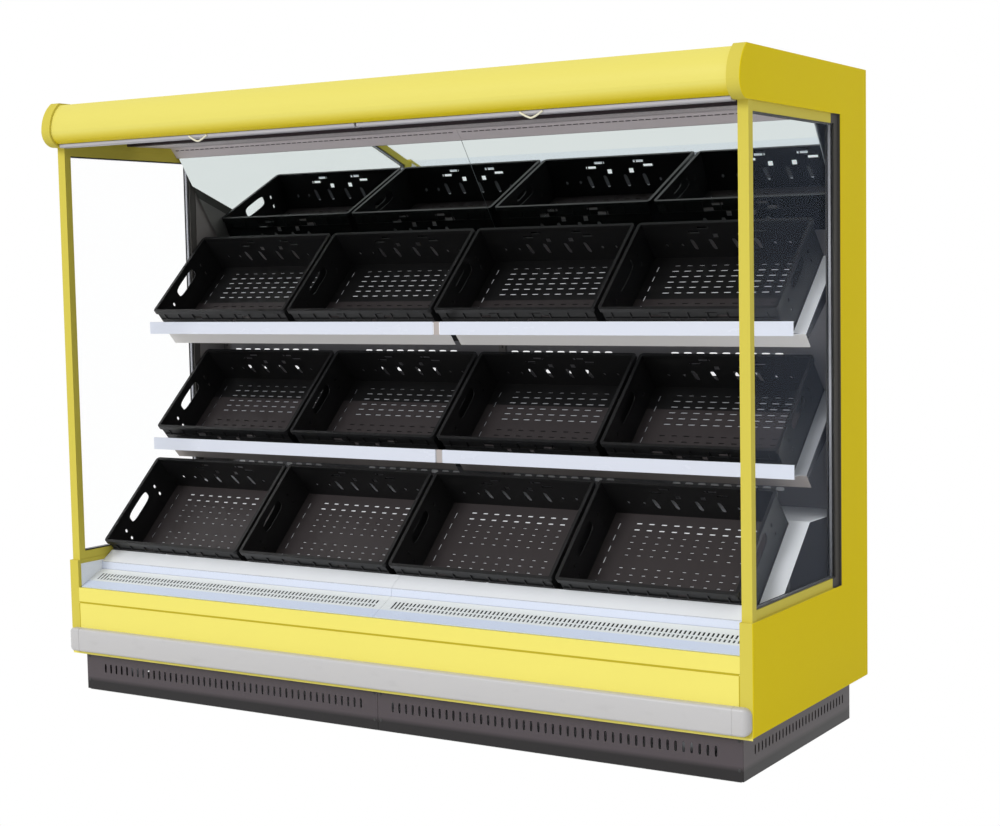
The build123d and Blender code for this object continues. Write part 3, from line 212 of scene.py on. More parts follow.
def folding(path):
    """place(u, v, w) for sheet metal: u runs along X, v along the folded (y, z) path,
    and w out of its left side, mitred at the folds.  Also gives the fold distances."""
    path = np.asarray(path, float)
    runs = np.diff(path, axis=0)
    lengths = np.linalg.norm(runs, axis=1)
    left = np.column_stack([-runs[:, 1], runs[:, 0]]) / lengths[:, None]
    before = np.vstack([left[0], left])
    after = np.vstack([left, left[-1]])
    mitre = (before + after) / (1 + np.sum(before * after, axis=1))[:, None]
    far = np.concatenate([[0.0], np.cumsum(lengths)])

    def place(u, v, w):
        y, z = (np.interp(v, far, path[:, k]) + w * np.interp(v, far, mitre[:, k]) for k in (0, 1))
        return u, y, z

    return place, far


def cut_lines(ends, centres, half):
    """Grid lines from one end to the other with a pair at each centre, and the number
    of each centre's own cell."""
    pairs = np.column_stack([np.asarray(centres) - half, np.asarray(centres) + half]).ravel()
    lines = [ends[0]]
    for value in list(pairs) + [ends[1]]:
        if value - lines[-1] > 1e-6:
            lines.append(value)
    lines = np.array(lines)
    return lines, np.searchsorted(lines, centres) - 1


def pierced(ends, centres, half, vs, rows, holes=(), count=12):
    """A metal sheet with a cell of the half width at each centre, cut in the given rows of
    vs: open, or with the oval where holes holds one.  rows gives for each row how many
    cells are cut from the start, or None for all."""
    us, cells = cut_lines(ends, centres, half)
    kind = np.zeros((len(us) - 1, len(vs) - 1), int)
    for row, some in rows.items():
        kind[cells[:some], row] = 2 if holes else 1
    return plate(us, vs, SHEET, kind, holes, count)


def painted_shadow_strips(place, row, far):
    """A strip in each bay, 0.5 mm thick and 3 mm behind a folded sheet, dark as painted shadow so
    that the slots in front of it read dark.
    """
    return join(*[placed(plate(ends, row, 0.5), lambda u, v, w: place(u, v, w + 3.0))
                  for ends in mirrored(3.0, far)])


# ---- finishes ----
def math_node(operation, swapped=False):
    """A method that adds a Math node; swapped puts the other value first."""
    def method(self, other=0.0):
        first, second = (other, self) if swapped else (self, other)
        return self.finish.node("Math", {"operation": operation}, {0: first, 1: second})
    return method


class Field:
    """A socket of a material's nodes; arithmetic on it adds Math nodes."""

    def __init__(self, finish, socket):
        self.finish, self.socket = finish, socket

    __add__, __radd__ = math_node("ADD"), math_node("ADD", True)
    __sub__, __rsub__ = math_node("SUBTRACT"), math_node("SUBTRACT", True)
    __mul__, __rmul__ = math_node("MULTIPLY"), math_node("MULTIPLY", True)
    __gt__, __lt__ = math_node("GREATER_THAN"), math_node("LESS_THAN")
    __mod__ = math_node("FLOORED_MODULO")
    __abs__ = math_node("ABSOLUTE")
    most = math_node("MAXIMUM")


class Finish:
    """A node tree under construction."""

    def __init__(self, name, tree=None):
        if tree is None:
            self.material = bpy.data.materials.new(name)
            self.material.use_nodes = True
            tree = self.material.node_tree
        self.tree = tree
        tree.nodes.clear()

    def node(self, kind, settings=None, inputs=None, output=0):
        """Adds a node of any kind: its settings first, then values or links by socket."""
        added = self.tree.nodes.new("ShaderNode" + kind)
        for key, value in (settings or {}).items():
            setattr(added, key, value)
        for key, value in (inputs or {}).items():
            if isinstance(value, Field):
                self.tree.links.new(value.socket, added.inputs[key])
            elif added.inputs[key].type == "RGBA":
                added.inputs[key].default_value = (*value, 1.0)
            else:
                added.inputs[key].default_value = value
        return Field(self, added.outputs[output] if added.outputs else None)

    def place(self, kind="Object"):
        """Object coordinates in metres, or the piece's own map, as one vector."""
        return self.node("TexCoord", output=kind)

    def parts(self, vector):
        """The x, y and z of a vector, as separate fields."""
        return [self.node("SeparateXYZ", None, {0: vector}, output=k) for k in range(3)]

    def noise(self, where, scale, detail=2.0, stretch=(1.0, 1.0, 1.0)):
        """Cloudy values from 0 to 1, spots about 1/scale metres apart."""
        where = self.node("Mapping", None, {"Vector": where, "Scale": stretch})
        return self.node("TexNoise", None, {"Vector": where, "Scale": scale, "Detail": detail})

    def blend(self, amount, first, second):
        """Colour that goes from first to second as amount goes from 0 to 1."""
        return self.node("Mix", {"data_type": "RGBA"}, {0: amount, 6: first, 7: second}, output=2)

    def bump(self, height, depth):
        """A normal from a height field that is depth metres high."""
        return self.node("Bump", None, {"Strength": 1.0, "Distance": depth, "Height": height})

    def seen(self):
        """1 for a ray from the camera, off a gloss or through glass, and 0 for any other."""
        camera, gloss, glass = (self.node("LightPath", output=kind) for kind in (
            "Is Camera Ray", "Is Glossy Ray", "Is Transmission Ray"))
        return camera.most(gloss).most(glass)

    def end(self, shader):
        """Links the shader to the output and gives the material."""
        self.node("OutputMaterial", None, {"Surface": shader})
        return self.material

    def surface(self, base, roughness, others):
        """The material of a Principled shader, with its other inputs by name."""
        return self.end(self.node("BsdfPrincipled", None, {
            "Base Color": base, "Roughness": roughness, **others}))


def tone(red, green, blue):
    """A display colour, 0 to 255, as the linear values that a socket takes."""
    value = np.array([red, green, blue]) / 255
    linear = np.where(value < 0.04045, value / 12.92, ((value + 0.055) / 1.055) ** 2.4)
    return tuple(float(v) for v in linear)


def shade(colour, factor):
    """The colour made darker or lighter, within 0 to 1."""
    return tuple(min(1.0, c * factor) for c in colour)


def coated(name, colour, roughness=0.35, peel=0.00003, cloud=0.05, specular=0.5,
           grain=900.0, fade=(), lift=0.0):
    """Powder coat on sheet metal: an even colour with faint clouds and an orange-peel
    bump about a millimetre across.  fade lists (axis, first, last, other colour): the coat
    turns into the other colour from the first to the last place along that axis, where
    axis 3 is the distance from the middle of the cabinet along X.  lift is a faint glow
    for white sheet that the studio light cannot reach."""
    finish = Finish(name)
    where = finish.place()
    x, y, z = finish.parts(where)
    clouds = finish.noise(where, 2.3, 4.0)
    skin = finish.noise(where, grain, 2.0)
    base = finish.blend(clouds, shade(colour, 1 - cloud), shade(colour, 1 + cloud))
    for axis, first, last, other in fade:
        share = ((x, y, z, abs(x))[axis] - first) * (1.0 / (last - first))
        base = finish.blend(finish.node("Clamp", None, {0: share}), base, other)
    return finish.surface(base, roughness + (clouds - 0.5) * 0.12, {
        "Specular IOR Level": specular, "Normal": finish.bump(skin, peel),
        "Emission Color": base, "Emission Strength": lift})


def moulded(name, colour, roughness=0.42, texture=0.00004, scuff=0.25, specular=0.5,
            worn=None, lit=None):
    """Moulded plastic: fine spark texture, with streaks rubbed to the worn colour here and
    there.  lit is the tone of a crate's floor where daylight reaches it: the crate's own
    map gives the height above the floor in metres, and the depth from the front wall as a
    share of the part that the daylight reaches."""
    finish = Finish(name)
    where = finish.place()
    grit = finish.noise(where, 700.0, 3.0)
    rub = finish.noise(where, 9.0, 6.0, (1.0, 1.0, 3.0))
    rubbed = finish.node("Clamp", None, {0: (rub - 0.58) * 5.0})
    base = finish.blend(rubbed * scuff, colour, worn or tuple(0.6 * c + 0.05 for c in colour))
    if lit:
        high, deep, _ = finish.parts(finish.place("UV"))
        base = finish.blend((high < 0.0045) * (deep < 1.0) * (high > 0.002), base, lit)
    return finish.surface(base, roughness + (rub - 0.5) * 0.2, {
        "Specular IOR Level": specular, "Normal": finish.bump(grit, texture)})


def metal(name, colour, roughness, stretch=(0.02, 1.0, 1.0), cells=0.0):
    """Bare metal: streaks drawn out along one axis, and zinc flakes if cells is set."""
    finish = Finish(name)
    where = finish.place()
    streak = finish.noise(where, 400.0, 2.0, stretch)
    mark = streak
    if cells:
        flakes = finish.node("TexVoronoi", None, {"Vector": where, "Scale": cells}, output="Color")
        mark = streak * 0.3 + finish.node("SeparateColor", None, {0: flakes}) * 0.7
    base = finish.blend(mark, shade(colour, 0.86), shade(colour, 1.08))
    return finish.surface(base, roughness + (mark - 0.5) * 0.15, {
        "Metallic": 1.0, "Normal": finish.bump(streak, 0.00002)})


def clear(name, tint, sheen, gloss):
    """Clear sheet: light passes straight through, a little tinted, and a share of it is
    thrown back, more at a low angle; a faint film makes that share uneven."""
    finish = Finish(name)
    where = finish.place()
    film = finish.noise(where, 6.0, 3.0)
    facing = finish.node("LayerWeight", None, {"Blend": 0.5}, output="Facing")
    rise = facing * facing * facing * facing
    through = finish.node("BsdfTransparent", None, {"Color": tint})
    back = finish.node("BsdfAnisotropic", None, {"Color": gloss, "Roughness": film * 0.02})
    share = rise * (film * 0.3 + 0.85) * sheen
    return finish.end(finish.node("MixShader", None, {0: share, 1: through, 2: back}))


def silvered():
    """Mirror: silver behind clear glass, a little green and blue."""
    finish = Finish("mirror_silver")
    where = finish.place()
    film = finish.noise(where, 3.0, 5.0)
    base = finish.blend(film, (0.665, 0.72, 0.71), (0.70, 0.75, 0.74))
    return finish.surface(base, 0.012 + film * 0.012, {"Metallic": 1.0})


def perforated_spacer():
    """Aluminium spacer of double glazing: rows of small dark holes, 3 mm apart."""
    finish = Finish("spacer_aluminium")
    x, y, z = finish.parts(finish.place())
    pitch = 0.0032
    along = abs((z + y * 0.7) % pitch - pitch / 2)
    across = abs((x + 0.0016) % (pitch * 1.25) - pitch * 0.62)
    hole = (along < 0.0008) * (across < 0.0008)
    return finish.surface(finish.blend(hole, tone(176, 178, 184), tone(70, 72, 78)), 0.42, {
        "Metallic": 0.7, "Normal": finish.bump(1.0 - hole, 0.0002)})


def woven(name, colour, pitch=0.0011):
    """Blind cloth: over-and-under threads both ways on the piece's own UV map."""
    finish = Finish(name)
    along = finish.place("UV")
    warp, weft = (finish.node("Math", {"operation": "SINE"}, {0: part * (2 * math.pi / pitch)})
                  for part in finish.parts(along)[:2])
    cloth = warp * weft * 0.5 + 0.5
    slub = finish.noise(along, 60.0, 3.0, (1.0, 12.0, 1.0))
    base = finish.blend(cloth * 0.5 + slub * 0.5, shade(colour, 0.82), shade(colour, 1.1))
    return finish.surface(base, 0.85, {
        "Sheen Weight": 0.2, "Normal": finish.bump(cloth, 0.00015)})


def pull_bar():
    """Grey-lilac extrusion with faint drawn streaks along it."""
    finish = Finish("pull_bar_plastic")
    where = finish.place()
    grit = finish.noise(where, 800.0, 2.0)
    streak = finish.noise(where, 30.0, 3.0, (0.1, 1.0, 1.0))
    base = finish.blend(streak, tone(176, 175, 182), tone(190, 188, 194))
    return finish.surface(base, 0.45, {"Normal": finish.bump(grit, 0.00003)})


def finned():
    """Coil fins: fine upright lines 2.5 mm apart along X, brighter on their edges."""
    finish = Finish("coil_fins")
    where = finish.place()
    x, _, _ = finish.parts(where)
    pitch = 0.0025
    line = abs(x % pitch - pitch / 2) * (2 / pitch)
    frost = finish.noise(where, 25.0, 4.0)
    base = finish.blend(line * 0.8, tone(70, 74, 78), tone(196, 199, 202))
    return finish.surface(base, 0.35 + frost * 0.2, {
        "Metallic": 0.8, "Normal": finish.bump(line, 0.0008)})


def panelled(name, colour, pitch=0.625):
    """Outer skin of the foamed body: flat sheets with a pressed seam every pitch."""
    finish = Finish(name)
    where = finish.place()
    x, _, _ = finish.parts(where)
    seam = abs((x + 10.0 * pitch) % pitch - pitch / 2) < 0.0025
    clouds = finish.noise(where, 3.0, 5.0)
    peel = finish.noise(where, 500.0, 2.0)
    base = finish.blend(clouds, shade(colour, 0.93), shade(colour, 1.05))
    return finish.surface(finish.blend(seam, base, shade(colour, 0.45)), 0.45 + clouds * 0.1, {
        "Normal": finish.bump(peel * 0.03 - seam * 1.0, 0.0015)})


def soffit_paint():
    """Mauve coat, with dark mauve painted shade where it turns up behind the blind bars, a shallow
    seam, and a row of faint pressed dashes on its underside."""
    finish = Finish("soffit_paint")
    where = finish.place()
    x, y, _ = finish.parts(where)
    clouds = finish.noise(where, 2.3, 4.0)
    base = finish.blend(clouds, tone(203, 195, 199), tone(212, 205, 208))
    dash = (abs(y + 0.024) < 0.006) * ((x + 10.0) % 0.0235 < 0.015)
    seam = abs(y - 0.078) < 0.0065
    base = finish.blend((dash * 0.4).most(seam * 0.7), base, tone(96, 88, 94))
    # painted shade on the part in front of y = -0.06, where the sheet turns up behind the blind
    # bars
    front = finish.node("Clamp", None, {0: (-0.060 - y) * 400.0})
    return finish.surface(finish.blend(front, base, tone(62, 52, 56)), 0.5, {
        "Specular IOR Level": 0.2, "Normal": finish.bump(0.0 - seam, 0.0008)})


def painted_glow_white(name, strength):
    """White paint inside the air duct with a painted glow of that strength, standing in for the
    light that reaches it; no lamp is there.
    """
    finish = Finish(name)
    where = finish.place()
    clouds = finish.noise(where, 5.0, 3.0)
    glow = finish.blend(clouds, (0.93, 0.94, 0.95), (1.0, 1.0, 1.0))
    return finish.surface(glow, 0.5, {"Emission Color": glow, "Emission Strength": strength})


# One yellow paint in painted light and shade: a pale copy whitened as painted sheen for faces
# towards the key light, a deep copy as painted shade on the outer sides, a deeper one as painted
# shade on the canopy's lower part, and a mid copy in painted shade for the posts and window frames.
YELLOW_PAINTED_SHEEN = (0.87, 0.775, 0.165)
YELLOW_PAINTED_SIDE_SHADE = (0.81, 0.635, 0.008)
YELLOW_PAINTED_UNDER_SHADE = (0.75, 0.59, 0.008)
YELLOW_PAINTED_MID_SHADE = (0.665, 0.57, 0.088)
# dark grey painted as the shadow on the rear part of the ends and window frames
REAR_PAINTED_SHADOW = tone(84, 82, 80)
finishes = {
    "yellow_front_painted_sheen": coated("yellow_coat_painted_sheen", YELLOW_PAINTED_SHEEN, 0.42, cloud=0.02, specular=0.15),
    # Canopy: the deeper yellow as painted shade on its lower part, turning to the pale copy, a
    # little darkened, above.
    "canopy": coated("yellow_canopy_painted_shade", YELLOW_PAINTED_UNDER_SHADE, 0.42, cloud=0.02, specular=0.15,
                     fade=[(2, 1.897, 1.925, shade(YELLOW_PAINTED_SHEEN, 0.9))]),
    # Ends: the mid copy, dark grey painted shadow on their inner faces towards the rear, and the
    # deep copy as painted shade on the outer faces.
    "end": coated("yellow_end_painted_shading", YELLOW_PAINTED_MID_SHADE, 0.5, cloud=0.01, specular=0.03, fade=[
        (1, 0.2, 0.202, REAR_PAINTED_SHADOW), (1, 0.44, 0.442, YELLOW_PAINTED_MID_SHADE), (2, 1.99, 1.992, YELLOW_PAINTED_MID_SHADE),
        (3, 1.2875, 1.2885, YELLOW_PAINTED_SIDE_SHADE)]),
    # Window frames: the mid copy, with dark grey painted shadow on their rear part.
    "frame": coated("yellow_frame_painted_shading", YELLOW_PAINTED_MID_SHADE, 0.5, cloud=0.01, specular=0.05,
                    fade=[(1, 0.2, 0.202, REAR_PAINTED_SHADOW)]),
    "white": coated("white_powder_coat", tone(238, 241, 246), 0.38, cloud=0.015, lift=0.05),
    # The two shelf trays are one white sheet: the upper one with a painted glow as light, the lower
    # one a grey copy as painted shade.
    "tray": coated("white_tray_coat_painted_glow", tone(238, 241, 246), 0.38, cloud=0.015, lift=0.15),
    "tray_painted_shade": coated("tray_coat_painted_shade", tone(184, 187, 192), 0.38, cloud=0.015),
    # Sheets over the shelf lips: a white copy with a painted glow as light on the upper shelf, a
    # darker copy as painted shade on the lower.
    "lip_upper": coated("lip_shade_upper", tone(198, 196, 195), 0.5, cloud=0.02, specular=0.1,
                        lift=0.28),
    "lip_lower": coated("lip_shade_lower", tone(184, 176, 173), 0.5, cloud=0.02, specular=0.1),
    # Deck: one white sheet, a bluish copy as painted shade on its steep part below the upper fold,
    # a whiter copy above, and a faint painted glow.
    "deck": coated("white_deck_coat_painted_shade", tone(222, 227, 239), 0.38, cloud=0.015, lift=0.02,
                   fade=[(2, 0.437, 0.4385, tone(240, 243, 247))]),
    "line": coated("joint_grey", tone(176, 180, 190), 0.5, cloud=0.02),
    # dark coat of the shelf brackets, also used for painted shadow on the upper flange
    "bracket_and_painted_shadow": coated("bracket_coat", tone(52, 53, 58), 0.5, cloud=0.03),
    # dark yellow for strips along the panel joints, painted as the shadow in the gaps
    "seam": coated("yellow_painted_gap_shadow", (0.50, 0.40, 0.02), 0.5, cloud=0.02, specular=0.1),
    # Liner and uprights: white sheet, turning grey above about half a metre as painted shade.
    "liner": coated("liner_paint_painted_shade_above", tone(250, 252, 255), 0.42, cloud=0.03,
                    fade=[(2, 0.47, 0.53, tone(128, 124, 122))]),
    # Grille sheet: cream, with a bluish copy as painted shade on the lowest part of its front lip.
    "cream": coated("grille_paint_painted_lip_shade", tone(224, 231, 244), 0.4, cloud=0.02,
                    fade=[(2, 0.3805, 0.3825, tone(243, 244, 238))]),
    "slate": coated("back_panel_paint", tone(142, 140, 143), 0.5, cloud=0.05),
    "mauve": soffit_paint(),
    "plinth": coated("plinth_paint", tone(32, 30, 31), 0.42, 0.00006, specular=0.3, grain=500.0,
                     fade=[(2, 0.030, 0.046, tone(77, 70, 74))]),
    "bumper": moulded("bumper_grey", tone(192, 191, 192), 0.38, scuff=0.3),
    "rail": moulded("price_rail_plastic", tone(222, 227, 240), 0.25, 0.00001, scuff=0.05),
    "crate": moulded("crate_black", (0.0105, 0.0105, 0.0110), 0.38, scuff=0.2, specular=0.24,
                     worn=(0.05, 0.048, 0.048), lit=(0.041, 0.035, 0.036)),
    "black": moulded("black_plastic", (0.02, 0.02, 0.021), 0.45),
    "grey_plastic": moulded("grey_plastic", tone(150, 150, 152), 0.45),
    "glass": clear("window_glass", (0.998, 0.999, 0.999), 0.05, (0.62, 0.74, 1.0)),
    "acrylic": clear("riser_acrylic", (0.966, 0.978, 0.998), 0.3, (0.9, 0.95, 1.0)),
    # near-black and dark grey sheets behind slots, painted as the shadow seen through them
    "painted_shadow_dark": coated("painted_shadow_dark_coat", tone(20, 16, 15), 0.9, cloud=0.1, specular=0.05),
    "painted_shadow_pale": coated("painted_shadow_pale", tone(96, 98, 96), 0.9, cloud=0.1, specular=0.05),
    "mirror": silvered(),
    "spacer": perforated_spacer(),
    "aluminium": metal("anodised_aluminium", tone(190, 192, 196), 0.32),
    "zinc": metal("galvanised_steel", tone(165, 168, 172), 0.4, (1.0, 1.0, 1.0), 45.0),
    "copper": metal("dull_copper", tone(178, 112, 72), 0.38),
    "fins": finned(),
    "body": panelled("body_skin", tone(205, 207, 208)),
    "pull_bar": pull_bar(),
    "handle": moulded("handle_ivory", tone(232, 228, 206), 0.4, scuff=0.1),
    "cloth": woven("blind_cloth", tone(196, 192, 184)),
    # white sheet with a painted glow standing in for light, strong here and faint in the shaded
    # copy
    "duct": painted_glow_white("duct_white_painted_glow", 0.85),
    "duct_dim": painted_glow_white("duct_shaded", 0.05),
    "dark_metal": coated("motor_enamel", tone(48, 50, 54), 0.4, cloud=0.1),
}


# ---- pieces ----
def linked(name, data):
    """A new object in the scene."""
    made = bpy.data.objects.new(name, data)
    bpy.context.scene.collection.objects.link(made)
    return made


def piece(name, shape, finish, replaces=(), bevel=0.0, body="cabinet"):
    """Makes the mesh in metres, faces outwards, and says what carries it."""
    points, faces = shape
    mesh = bpy.data.meshes.new(name)
    mesh.from_pydata((points * MM).tolist(), [], faces)
    work = bmesh.new()
    work.from_mesh(mesh)
    bmesh.ops.remove_doubles(work, verts=work.verts, dist=1e-6)
    bmesh.ops.recalc_face_normals(work, faces=work.faces)
    work.to_mesh(mesh)
    work.free()
    mesh.polygons.foreach_set("use_smooth", [True] * len(mesh.polygons))
    mesh.set_sharp_from_angle(angle=math.radians(30.0))
    made = linked(name, mesh)
    mesh.materials.append(finishes[finish])
    if bevel:
        rounded = made.modifiers.new("edge_round", "BEVEL")
        rounded.width = bevel * MM
        rounded.segments = 2
        rounded.limit_method = "ANGLE"
        rounded.angle_limit = math.radians(40)
    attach(made, body)
    if replaces:
        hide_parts(*replaces)
    return made


# ---- plinth ----
def plinth():
    """Kick plates with a row of upright oval air slots 25 mm apart, dark blocks behind the slots of
    the end plates as painted shadow, and screws."""
    face, low, top, fold = FRONT + 25.0, 2.0, 136.0, 20.0
    place, far = folding([(face + fold, top), (face, top), (face, low), (face + fold, low)])
    vs = np.concatenate([far[:2], far[1] + top - np.array([100.0, 60.0]), far[2:]])
    shapes = []
    for ends, first, last in (((-1246.5, -0.5), -1161.0, -65.0), ((0.5, 1246.5), 58.0, 1164.0)):
        centres = np.linspace(first, last, round((last - first) / 25.0) + 1)
        flat = pierced(ends, centres, 12.4, vs, {2: None}, [(4.0, 16.0, 0.6, 0.0)])
        shapes.append(placed(flat, place))
    piece("plinth_front_slotted", join(*shapes), "plinth", ["plinth_front"], 0.8)
    flat = pierced((face, 422.0), np.linspace(-310.0, 361.0, 28), 12.0, [low, 57.0, 97.0, top],
                   {1: None}, [(4.0, 14.0, 0.6, 0.0)])
    ends = [placed(flat, lambda u, v, w, side=side: (side * (1248.0 - w), u, v))
            for _, side in SIDES]
    piece("plinth_ends_slotted", join(*ends), "plinth", ["plinth_ends"], 0.8)
    # dark blocks behind the end slots, painted as the shadow inside the plinth
    slot_shadows = [block(*ends, -325.0, 376.0, 50.0, 104.0) for ends in mirrored(1243.0, 1243.5)]
    piece("plinth_slot_painted_shadow", join(*slot_shadows), "painted_shadow_dark")
    screws = [disc((x, face, z), (0, -1, 0), 5.0, 1.6) for z in (34.0, 118.0)
              for x in (-1236.0, -12.0, 12.0, 1236.0)]
    piece("plinth_screws", join(*screws), "black")


def disc(centre, axis, radius, height, count=12):
    """A low domed screw head: circles of radius, radius and 0.62 radius at rising heights."""
    axis = Vector(axis).normalized()
    turn = np.array(axis.to_track_quat("Z", "Y").to_matrix())
    t = np.arange(count) * 2 * np.pi / count
    grid = []
    for share, up in ((1.0, -0.3), (1.0, height * 0.5), (0.62, height)):
        reach = radius * share
        ring = np.column_stack([reach * np.cos(t), reach * np.sin(t), np.full(count, up)])
        grid.append(ring @ turn.T + np.array(centre))
    return sweep(grid)


# ---- front and deck ----
def grilles():
    """Return air grilles: two rows of narrow slots 14.6 mm apart, the first three of each bay cut
    through both rows, with a dark strip under each row as painted shadow, paler under the front
    row."""
    back, bend, lip = (-304.0, 412.0), (-363.0, 384.0), (-404.5, 364.5)
    place, far = folding([back, bend, lip, (lip[0], 362.0)])
    vs = np.concatenate([[0.0, 25.0, 43.0, 48.0, 62.0], far[1:]])
    shapes = []
    for ends, first, last in (((-1248.2, -0.5), -1214.7, -20.0), ((0.5, 1248.2), 37.9, 1222.0)):
        centres = np.arange(first, last, 14.6)
        shapes.append(placed(pierced(ends, centres, 3.2, vs, {1: None, 3: None, 2: 3}), place))
    piece("return_air_grilles", join(*shapes), "cream", ["air_grilles"])
    # dark strips under the slot rows as painted shadow, paler under the front row
    for name, row, finish in (("rear", [20.0, 45.5], "painted_shadow_dark"),
                              ("front", [45.5, 64.5], "painted_shadow_pale")):
        piece(f"grille_painted_shadow_{name}", painted_shadow_strips(place, row, 1246.0), finish)


# ---- canopy ----
def soffit():
    """Soffit and slotted trim over the mirror, folded from one sheet per bay."""
    front, low, corner = (-100.0, 1981.5), (-100.0, 1897.7), (130.0, 1901.7)
    place, far = folding([front, low, corner, MIRROR_EDGE])
    row = far[2] + 12.0
    vs = np.concatenate([far[:3], [row - 2.2, row + 2.2], far[3:]])
    shapes = []
    for ends in mirrored(0.5, INNER):
        centres = np.arange(ends[0] + 24.0, ends[1] - 12.0, 23.5)
        shapes.append(placed(pierced(ends, centres, 9.2, vs, {3: None}), place))
    piece("soffit_slotted", join(*shapes), "mauve", ["canopy_soffit"])
    # black strips behind the slots, painted as the shadow seen through them
    felt = painted_shadow_strips(place, [row - 8.0, row + 8.0], INNER - 3.0)
    piece("soffit_slot_painted_shadow", felt, "black")


def mirror_joint():
    """Black felt behind the joint between the two mirrors."""
    fall = np.array([math.sin(MIRROR_TILT), -math.cos(MIRROR_TILT)])
    place, _ = folding([MIRROR_EDGE, MIRROR_EDGE + 380.0 * fall])
    strip = placed(plate([-8.0, 8.0], [4.0, 374.0], 0.4), lambda u, v, w: place(u, v, w + 4.2))
    piece("mirror_joint_felt", strip, "black")


def back_panels():
    """Air panels behind the crates: nine round-ended slots 45.75 mm apart behind each crate, in two
    rows behind the middle crates and one behind the deck crates, with white strips behind the rows
    that glow as painted light, brightly behind the middle crates and faintly behind the deck
    crates."""
    vs = [306.0, 714.0, 734.0, 1078.0, 1098.0, 1140.0, 1162.0, 1981.5]
    shapes = []
    for ends, starts in (((-1220.5, -14.0), (-1182.0, -570.5)), ((14.0, 1220.5), (48.5, 661.5))):
        centres = np.concatenate([start + 45.75 * np.arange(9) for start in starts])
        flat = pierced(ends, centres, 17.0, vs, {1: None, 3: None, 5: None},
                       [(14.5, 6.2, 0.5, 0.0)], 16)
        shapes.append(placed(flat, lambda u, v, w: (u, 400.0 - w, v)))
    piece("back_panels_slotted", join(*shapes), "slate", ["back_air_panels"])
    # strips that glow as painted light behind the slots: bright behind the middle crates, faint
    # behind the deck crates
    for name, z0, z1, finish in (("upper", 1068.0, 1172.0, "duct"),
                                 ("lower", 704.0, 744.0, "duct_dim")):
        strips = [block(*ends, 402.0, 403.0, z0, z1) for ends in mirrored(16.0, 1218.0)]
        piece(f"duct_painted_glow_{name}", join(*strips), finish)


# ---- crates ----
def grid_lines(low, high, features):
    """Sorted grid lines from low to high with a pair at each (middle, half width)."""
    pairs = [middle + side * half for middle, half in features for side in (-1.0, 1.0)]
    return np.array(sorted({low, high, *pairs}))


def cell_at(lines, middle):
    """The number of the cell that holds the place."""
    return int(np.searchsorted(lines, middle)) - 1


